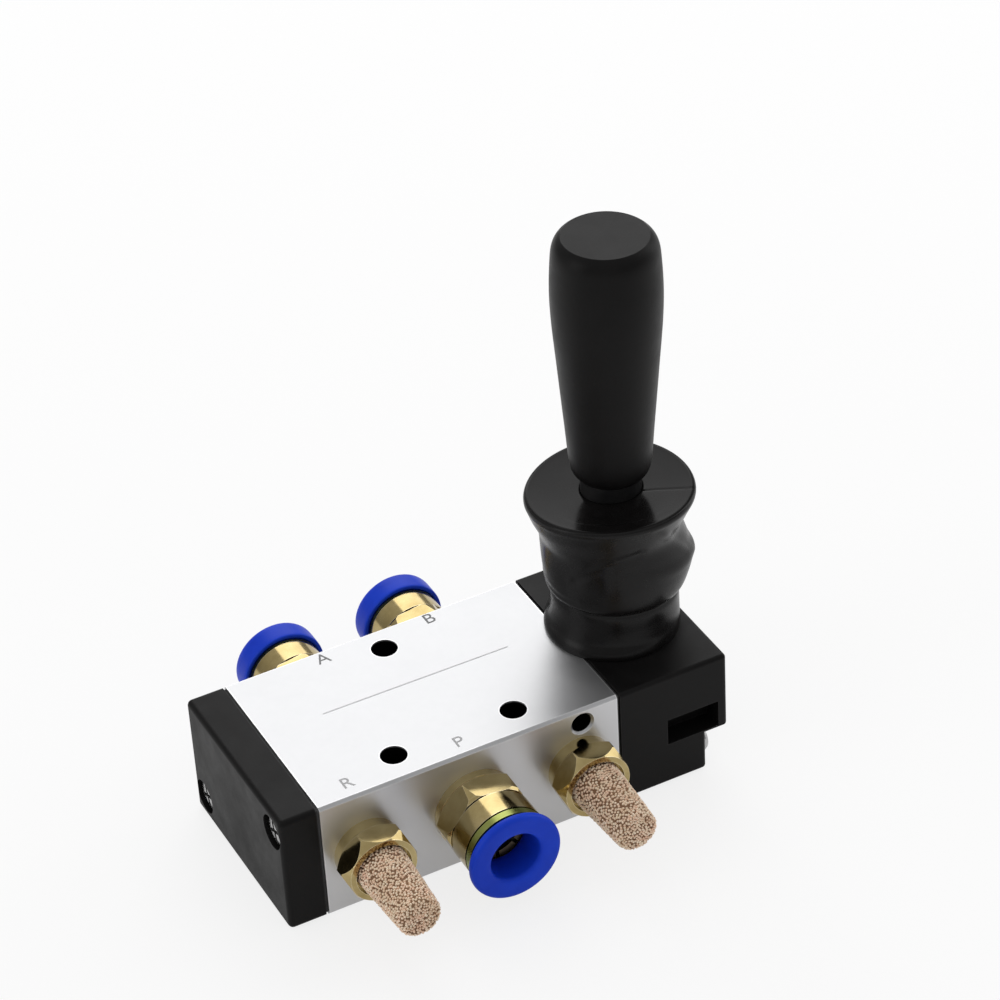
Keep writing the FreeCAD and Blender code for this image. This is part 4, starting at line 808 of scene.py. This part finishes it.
def place_boot(angles, skin):
    """Leans, lifts and creases the skin, and returns its points in millimetres."""
    radius, height = skin[..., 0], skin[..., 1]
    rise = np.clip((height - LIFT_START) / LIFT_RISE, 0, 1)
    rise = rise * rise * (3 - 2 * rise)
    lifted = height + rise * disc_lift(angles) * radius / DISC_RADIUS
    pinch = FRONT_PINCH * np.clip(np.cos(angles - CAMERA_SIDE), 0, 1) ** 2
    pinched = radius - rise * pinch * (radius > PINCH_MIN_RADIUS)
    near_shaft = np.clip((LEAN_REACH - radius) / LEAN_FADE, 0, 1)
    lean = near_shaft * np.clip((height - LEAN_START) / LEAN_RISE, 0, 1)
    lean = lean * (height - PIVOT_HEIGHT) * math.tan(LEVER_LEAN)
    x = LEVER_X + lean + pinched * np.cos(angles)
    y = pinched * np.sin(angles)
    on_top = np.clip((height - CREASE_FLOOR) / CREASE_FADE, 0, 1)
    gap, side = distance_to_path(x - LEVER_X, y, DISC_CREASE)
    crease = -CREASE_DEPTH * np.exp(-(gap / CREASE_WIDTH) ** 2)
    crease = crease + CREASE_STEP * side * np.exp(-gap / CREASE_STEP_REACH)
    return np.stack([x, y, lifted + crease * on_top], -1)


def build_boot():
    """The rubber boot, leaned near the shaft as the lever stands, with a glossier face on its
    disc.
    """
    angles = np.arange(BOOT_SEGMENTS) * 2 * math.pi / BOOT_SEGMENTS - math.pi
    points = place_boot(angles, boot_skin(angles))
    faces = grid_faces(len(points), BOOT_SEGMENTS, True)
    piece = mesh_object("bellows_boot", points.reshape(-1, 3), faces, BOOT_RUBBER)
    piece.data.materials.append(DISC_RUBBER)
    for face in piece.data.polygons:
        if face.center.z > DISC_FACE_FLOOR * MM and face.normal.z > DISC_FACE_UPRIGHT:
            face.material_index = 1
    return piece


boot = build_boot()
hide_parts("rubber_boot")
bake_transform(boot)


# Release rings

# Outlines are (radius, distance out from the fitting's seat on the block)
RING_STEPS = 3
SUPPLY_RING = [
    (4.25, 13.4), (4.25, 8.6), (5.05, 8.57), (5.36, 8.85), (5.37, 9.4), (5.58, 9.65),
    (5.40, 10.0), (5.37, 10.5), (5.37, 12.7), (5.8, 12.92), (7.3, 12.92), (7.77, 13.15),
    (7.86, 13.6), (7.72, 14.1), (7.35, 14.34), (6.6, 14.385), (5.2, 14.36), (4.6, 14.2),
    (4.3, 13.8),
]
OUTLET_RING = [
    (4.25, 13.9), (4.25, 8.6), (4.7, 8.57), (4.94, 8.85), (4.95, 11.4), (5.1, 11.55),
    (6.35, 11.55), (6.47, 11.4), (6.47, 10.9), (6.6, 10.72), (7.0, 10.72), (7.2, 11.0),
    (7.22, 12.5), (7.2, 14.0), (7.0, 14.6), (6.5, 14.86), (5.4, 14.85), (4.7, 14.7),
    (4.3, 14.3),
]

# Each port's place along the block, its side, how far its fitting stands
# off the block's face, and its ring's outline
PORTS = {
    "supply_p": (0.0, -1, 0.0, SUPPLY_RING),
    "outlet_a": (-11.3, 1, 0.0, OUTLET_RING),
    "outlet_b": (11.3, 1, 1.4, OUTLET_RING),
}


def build_release_ring(port):
    """The blue ring that is pressed in to let the tube go."""
    port_x, outward, stand_off, keys = PORTS[port]
    outline = smooth_through(keys + keys[:1], RING_STEPS)[:-1] + (0.0, stand_off)
    ring = turned_about_port(
        port + "_blue_ring", outline, port_x, outward, RING_SEGMENTS, BLUE_PLASTIC, True,
    )
    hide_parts(port + "_release_ring")
    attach(ring, port + "_ring")


for port_name in PORTS:
    build_release_ring(port_name)


# Sintered silencer elements: beads on a core, measured out from the block's face
BEAD_RADIUS = 0.25
BEAD_SPACING = 0.36
SMALLEST_BEAD = 0.78
LARGEST_BEAD = 1.06
BEADS_TO_A_SQUARE_METRE = 20000000.0
CORE_INSET = 0.27
CORE_END_GAP = 0.02
CORE_SEGMENTS = 64
CUP_DEPTH = 4.4
ELEMENT_END = 18.9
ELEMENT_ROOT_RADIUS = 4.45
ELEMENT_TIP_RADIUS = 3.65

# Each silencer's place along the block, and the seed of its beads' scatter
SILENCERS = {"silencer_r": (-18.9, 3), "silencer_s": (18.9, 8)}


def bead_tree():
    """Scatters beads over a core, sunk in it, and keeps only the beads."""
    tree = bpy.data.node_groups.new("fused_beads", "GeometryNodeTree")
    inputs = [
        ("Core", "NodeSocketGeometry"), ("Bead Radius", NUMBER), ("Bead Spacing", NUMBER),
        ("Seed", "NodeSocketInt"), ("Finish", "NodeSocketMaterial"),
    ]
    for label, kind in inputs:
        tree.interface.new_socket(name=label, in_out="INPUT", socket_type=kind)
    tree.interface.new_socket(name="Beads", in_out="OUTPUT", socket_type="NodeSocketGeometry")
    given = tree.nodes.new("NodeGroupInput")
    result = tree.nodes.new("NodeGroupOutput")
    spots = add(
        tree, "GeometryNodeDistributePointsOnFaces", {"distribute_method": "POISSON"},
        Density_Max=BEADS_TO_A_SQUARE_METRE,
    )
    bead = add(tree, "GeometryNodeMeshIcoSphere", Subdivisions=2)
    size = add(tree, "FunctionNodeRandomValue", {"data_type": "FLOAT"})
    size.inputs[2].default_value = SMALLEST_BEAD
    size.inputs[3].default_value = LARGEST_BEAD
    beads = add(tree, "GeometryNodeInstanceOnPoints")
    real = add(tree, "GeometryNodeRealizeInstances")
    smooth = add(tree, "GeometryNodeSetShadeSmooth")
    coat = add(tree, "GeometryNodeSetMaterial")
    join(
        tree,
        (given.outputs["Core"], spots.inputs["Mesh"]),
        (given.outputs["Bead Spacing"], spots.inputs["Distance Min"]),
        (given.outputs["Seed"], spots.inputs["Seed"]),
        (given.outputs["Bead Radius"], bead.inputs["Radius"]),
        (given.outputs["Seed"], size.inputs["Seed"]),
        (spots.outputs["Points"], beads.inputs["Points"]),
        (spots.outputs["Rotation"], beads.inputs["Rotation"]),
        (bead.outputs["Mesh"], beads.inputs["Instance"]),
        (size.outputs[1], beads.inputs["Scale"]),
        (beads.outputs["Instances"], smooth.inputs["Geometry"]),
        (smooth.outputs["Geometry"], real.inputs["Geometry"]),
        (real.outputs["Geometry"], coat.inputs["Geometry"]),
        (given.outputs["Finish"], coat.inputs["Material"]),
        (coat.outputs["Geometry"], result.inputs["Beads"]),
    )
    return tree


FUSED_BEADS = bead_tree()


def beads_on(core, name, **values):
    """The beads that the tree scatters on a core, as an object of their own."""
    carrier = bpy.data.objects.new(name + "_carrier", core.data.copy())
    scene.collection.objects.link(carrier)
    modifier = carrier.modifiers.new("beads", "NODES")
    modifier.node_group = FUSED_BEADS
    for item in FUSED_BEADS.interface.items_tree:
        key = item.name.replace(" ", "_")
        if item.in_out == "INPUT" and key in values:
            modifier[item.identifier] = values[key]
    evaluated = carrier.evaluated_get(bpy.context.evaluated_depsgraph_get())
    mesh = bpy.data.meshes.new_from_object(evaluated)
    mesh.name = name
    bpy.data.objects.remove(carrier)
    piece = bpy.data.objects.new(name, mesh)
    scene.collection.objects.link(piece)
    return piece


def build_silencer_element(silencer):
    """The porous bronze plug of a silencer: a core darkened as painted shade for the pores
    between its beads, with fused beads on it.
    """
    port_x, seed = SILENCERS[silencer]
    root = ELEMENT_ROOT_RADIUS - CORE_INSET
    tip = ELEMENT_TIP_RADIUS - CORE_INSET
    end = ELEMENT_END - CORE_INSET - CORE_END_GAP
    outline = [
        (0.0, CUP_DEPTH), (root, CUP_DEPTH), (tip + 0.22, end - 3.6), (tip + 0.02, end - 0.25),
        (tip - 0.25, end), (0.0, end),
    ]
    core = turned_about_port(
        silencer + "_core", outline, port_x, -1, CORE_SEGMENTS, PORE_SHADE_BRONZE, False,
    )
    beads = beads_on(
        core, silencer + "_beads", Bead_Radius=BEAD_RADIUS * MM,
        Bead_Spacing=BEAD_SPACING * MM, Seed=seed, Finish=SINTERED_GRAINS,
    )
    for piece in (core, beads):
        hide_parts(silencer + "_element")
        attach(piece, "valve")


for silencer_name in SILENCERS:
    build_silencer_element(silencer_name)


# Port letters and the thin line on the block's top
LETTER_HEIGHT = 3.5
LETTER_CURVE_STEPS = 8

# Each port letter's middle on the block's top, and its ink
PORT_LETTERS = {
    "A": (-9.7, 15.2, OUTLET_INK),
    "B": (9.65, 15.5, OUTLET_INK),
    "P": (-0.4, -14.4, PALE_INK),
    "R": (-19.75, -14.1, PALE_INK),
}
LINE_START = (-15.65, 2.8)
LINE_END = (17.25, 2.5)
LINE_WIDTH = 0.2


def on_block(name, mesh, place, ink):
    """A printed mark lying on the block's top."""
    mesh.transform(place)
    mesh.materials.clear()
    mesh.materials.append(ink)
    mark = bpy.data.objects.new(name, mesh)
    scene.collection.objects.link(mark)
    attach(mark, "valve")


def build_letter(letter, x, y, ink):
    """One printed port letter, a plain flat mesh."""
    text = bpy.data.curves.new("letter_" + letter, "FONT")
    text.body = letter
    text.size = LETTER_HEIGHT * MM
    text.align_x = "CENTER"
    text.align_y = "CENTER"
    text.resolution_u = LETTER_CURVE_STEPS
    carrier = bpy.data.objects.new("letter_carrier", text)
    scene.collection.objects.link(carrier)
    evaluated = carrier.evaluated_get(bpy.context.evaluated_depsgraph_get())
    mesh = bpy.data.meshes.new_from_object(evaluated)
    bpy.data.objects.remove(carrier)
    spot = Vector((x, y, BLOCK_TOP + PRINT_LIFT)) * MM
    on_block("port_letter_" + letter, mesh, Matrix.Translation(spot), ink)


def build_line():
    """The thin printed line across the block's top."""
    mesh = bpy.data.meshes.new("printed_line")
    height = BLOCK_TOP + PRINT_LIFT
    half = LINE_WIDTH / 2
    left, left_y = LINE_START
    right, right_y = LINE_END
    corners = [
        (left, left_y - half, height), (right, right_y - half, height),
        (right, right_y + half, height), (left, left_y + half, height),
    ]
    mesh.from_pydata([Vector(corner) * MM for corner in corners], [], [(0, 1, 2, 3)])
    on_block("printed_line", mesh, Matrix.Identity(4), LINE_INK)


for port_letter, (letter_x, letter_y, letter_ink) in PORT_LETTERS.items():
    build_letter(port_letter, letter_x, letter_y, letter_ink)
build_line()


# Studio, in metres: floor, lights and camera
FLOOR_REACH = 4.0
FLOOR_HEIGHT = -0.0001
PAPER_DULL = (0.93, 0.93, 0.93)
PAPER_BRIGHT = (0.95, 0.95, 0.95)

# How much of the floor's own glow the camera and reflections see
FLOOR_SEEN_SHARE = 0.8
FLOOR_GLOSS_SHARE = 0.42

# Strength of the surround at the horizon and overhead
SURROUND_LOW = 0.34
SURROUND_HIGH = 0.62
SURROUND_FULL_RISE = 0.8

# Each softbox's place, width, height and brightness; all aim at the valve's middle
VALVE_MIDDLE = (0.005, 0.0, 0.03)
SOFTBOXES = {
    "back_top_softbox": ((0.36, 0.74, 0.66), 0.90, 0.90, 1.85),
    "left_softbox": ((-1.0, 0.10, 0.42), 0.50, 0.80, 1.6),
    "right_softbox": ((0.95, 0.05, 0.40), 0.45, 0.80, 1.6),
}

# The camera's place and turn, and its lens in millimetres for a 36 mm sensor
CAMERA_PLACE = (-0.18786, -0.42037, 0.40150)
CAMERA_TURN_DEG = (53.2706, 2.7627, -27.9551)
CAMERA_NEAR = 0.01
CAMERA_FAR = 50.0
LENS_LENGTH = 135.06
SENSOR_WIDTH = 36.0


def pale_floor_finish():
    """Near-white paper, shown paler to the eye and to gloss, with its shadow kept."""
    finish, tree, shader = new_finish("pale_paper", Roughness=0.8, Specular_IOR_Level=0.2)
    grain = group_node(
        tree, FINE_GRAIN, Grain_Size=0.002, Patch_Size=0.3, Smooth_Gloss=0.75, Dull_Gloss=0.85,
    )
    colour = tone_mix(tree, grain.outputs["Patches"], PAPER_DULL, PAPER_BRIGHT)
    rays = add(tree, "ShaderNodeLightPath")
    mirrored = add(tree, "ShaderNodeMath", {"operation": "MAXIMUM"})
    mirrored_share = add(tree, "ShaderNodeMath", {"operation": "MULTIPLY"})
    mirrored_share.inputs[1].default_value = FLOOR_GLOSS_SHARE
    seen_share = add(tree, "ShaderNodeMath", {"operation": "MULTIPLY"})
    seen_share.inputs[1].default_value = FLOOR_SEEN_SHARE
    share = add(tree, "ShaderNodeMath", {"operation": "MAXIMUM"})
    glow = add(tree, "ShaderNodeEmission", Strength=1.0)
    blend = add(tree, "ShaderNodeMixShader")
    output = tree.nodes["Material Output"]
    join(
        tree,
        (colour, shader.inputs["Base Color"]),
        (grain.outputs["Roughness"], shader.inputs["Roughness"]),
        (rays.outputs["Is Glossy Ray"], mirrored.inputs[0]),
        (rays.outputs["Is Transmission Ray"], mirrored.inputs[1]),
        (mirrored.outputs[0], mirrored_share.inputs[0]),
        (rays.outputs["Is Camera Ray"], seen_share.inputs[0]),
        (seen_share.outputs[0], share.inputs[0]),
        (mirrored_share.outputs[0], share.inputs[1]),
        (share.outputs[0], blend.inputs[0]),
        (shader.outputs[0], blend.inputs[1]),
        (glow.outputs[0], blend.inputs[2]),
        (blend.outputs[0], output.inputs["Surface"]),
    )
    return finish


def build_floor():
    """The plain floor that the valve lies on."""
    mesh = bpy.data.meshes.new("studio_floor")
    corners = [(-1, -1), (1, -1), (1, 1), (-1, 1)]
    mesh.from_pydata(
        [(x * FLOOR_REACH, y * FLOOR_REACH, FLOOR_HEIGHT) for x, y in corners],
        [], [(0, 1, 2, 3)],
    )
    mesh.materials.append(pale_floor_finish())
    floor = bpy.data.objects.new("studio_floor", mesh)
    scene.collection.objects.link(floor)


def build_world():
    """A pale grey surround that is lighter overhead."""
    world = bpy.data.worlds.new("studio_surround")
    world.use_nodes = True
    tree = world.node_tree
    background = tree.nodes["Background"]
    background.inputs["Color"].default_value = (1.0, 1.0, 1.0, 1.0)
    place = add(tree, "ShaderNodeTexCoord")
    parts = add(tree, "ShaderNodeSeparateXYZ")
    rise = add(
        tree, "ShaderNodeMapRange", {"interpolation_type": "SMOOTHSTEP"},
        From_Min=0.0, From_Max=SURROUND_FULL_RISE, To_Min=SURROUND_LOW, To_Max=SURROUND_HIGH,
    )
    join(
        tree,
        (place.outputs["Generated"], parts.inputs[0]),
        (parts.outputs["Z"], rise.inputs["Value"]),
        (rise.outputs["Result"], background.inputs["Strength"]),
    )
    scene.world = world


def build_softbox(name):
    """A soft rectangular lamp. Its brightness is what a mirror facing it would show."""
    place, width, height, brightness = SOFTBOXES[name]
    lamp = bpy.data.lights.new(name, "AREA")
    lamp.shape = "RECTANGLE"
    lamp.size = width
    lamp.size_y = height
    lamp.energy = brightness * math.pi * width * height
    holder = bpy.data.objects.new(name, lamp)
    scene.collection.objects.link(holder)
    holder.location = place
    direction = Vector(VALVE_MIDDLE) - Vector(place)
    holder.rotation_euler = direction.to_track_quat("-Z", "Y").to_euler()


def build_camera():
    """The camera, where the photograph was taken from."""
    lens = bpy.data.cameras.new("photo_camera")
    lens.lens = LENS_LENGTH
    lens.sensor_width = SENSOR_WIDTH
    lens.sensor_fit = "HORIZONTAL"
    lens.clip_start = CAMERA_NEAR
    lens.clip_end = CAMERA_FAR
    camera = bpy.data.objects.new("photo_camera", lens)
    scene.collection.objects.link(camera)
    camera.location = CAMERA_PLACE
    camera.rotation_euler = [math.radians(angle) for angle in CAMERA_TURN_DEG]
    scene.camera = camera


build_floor()
build_world()
for softbox_name in SOFTBOXES:
    build_softbox(softbox_name)
build_camera()
scene.view_settings.view_transform = "Standard"
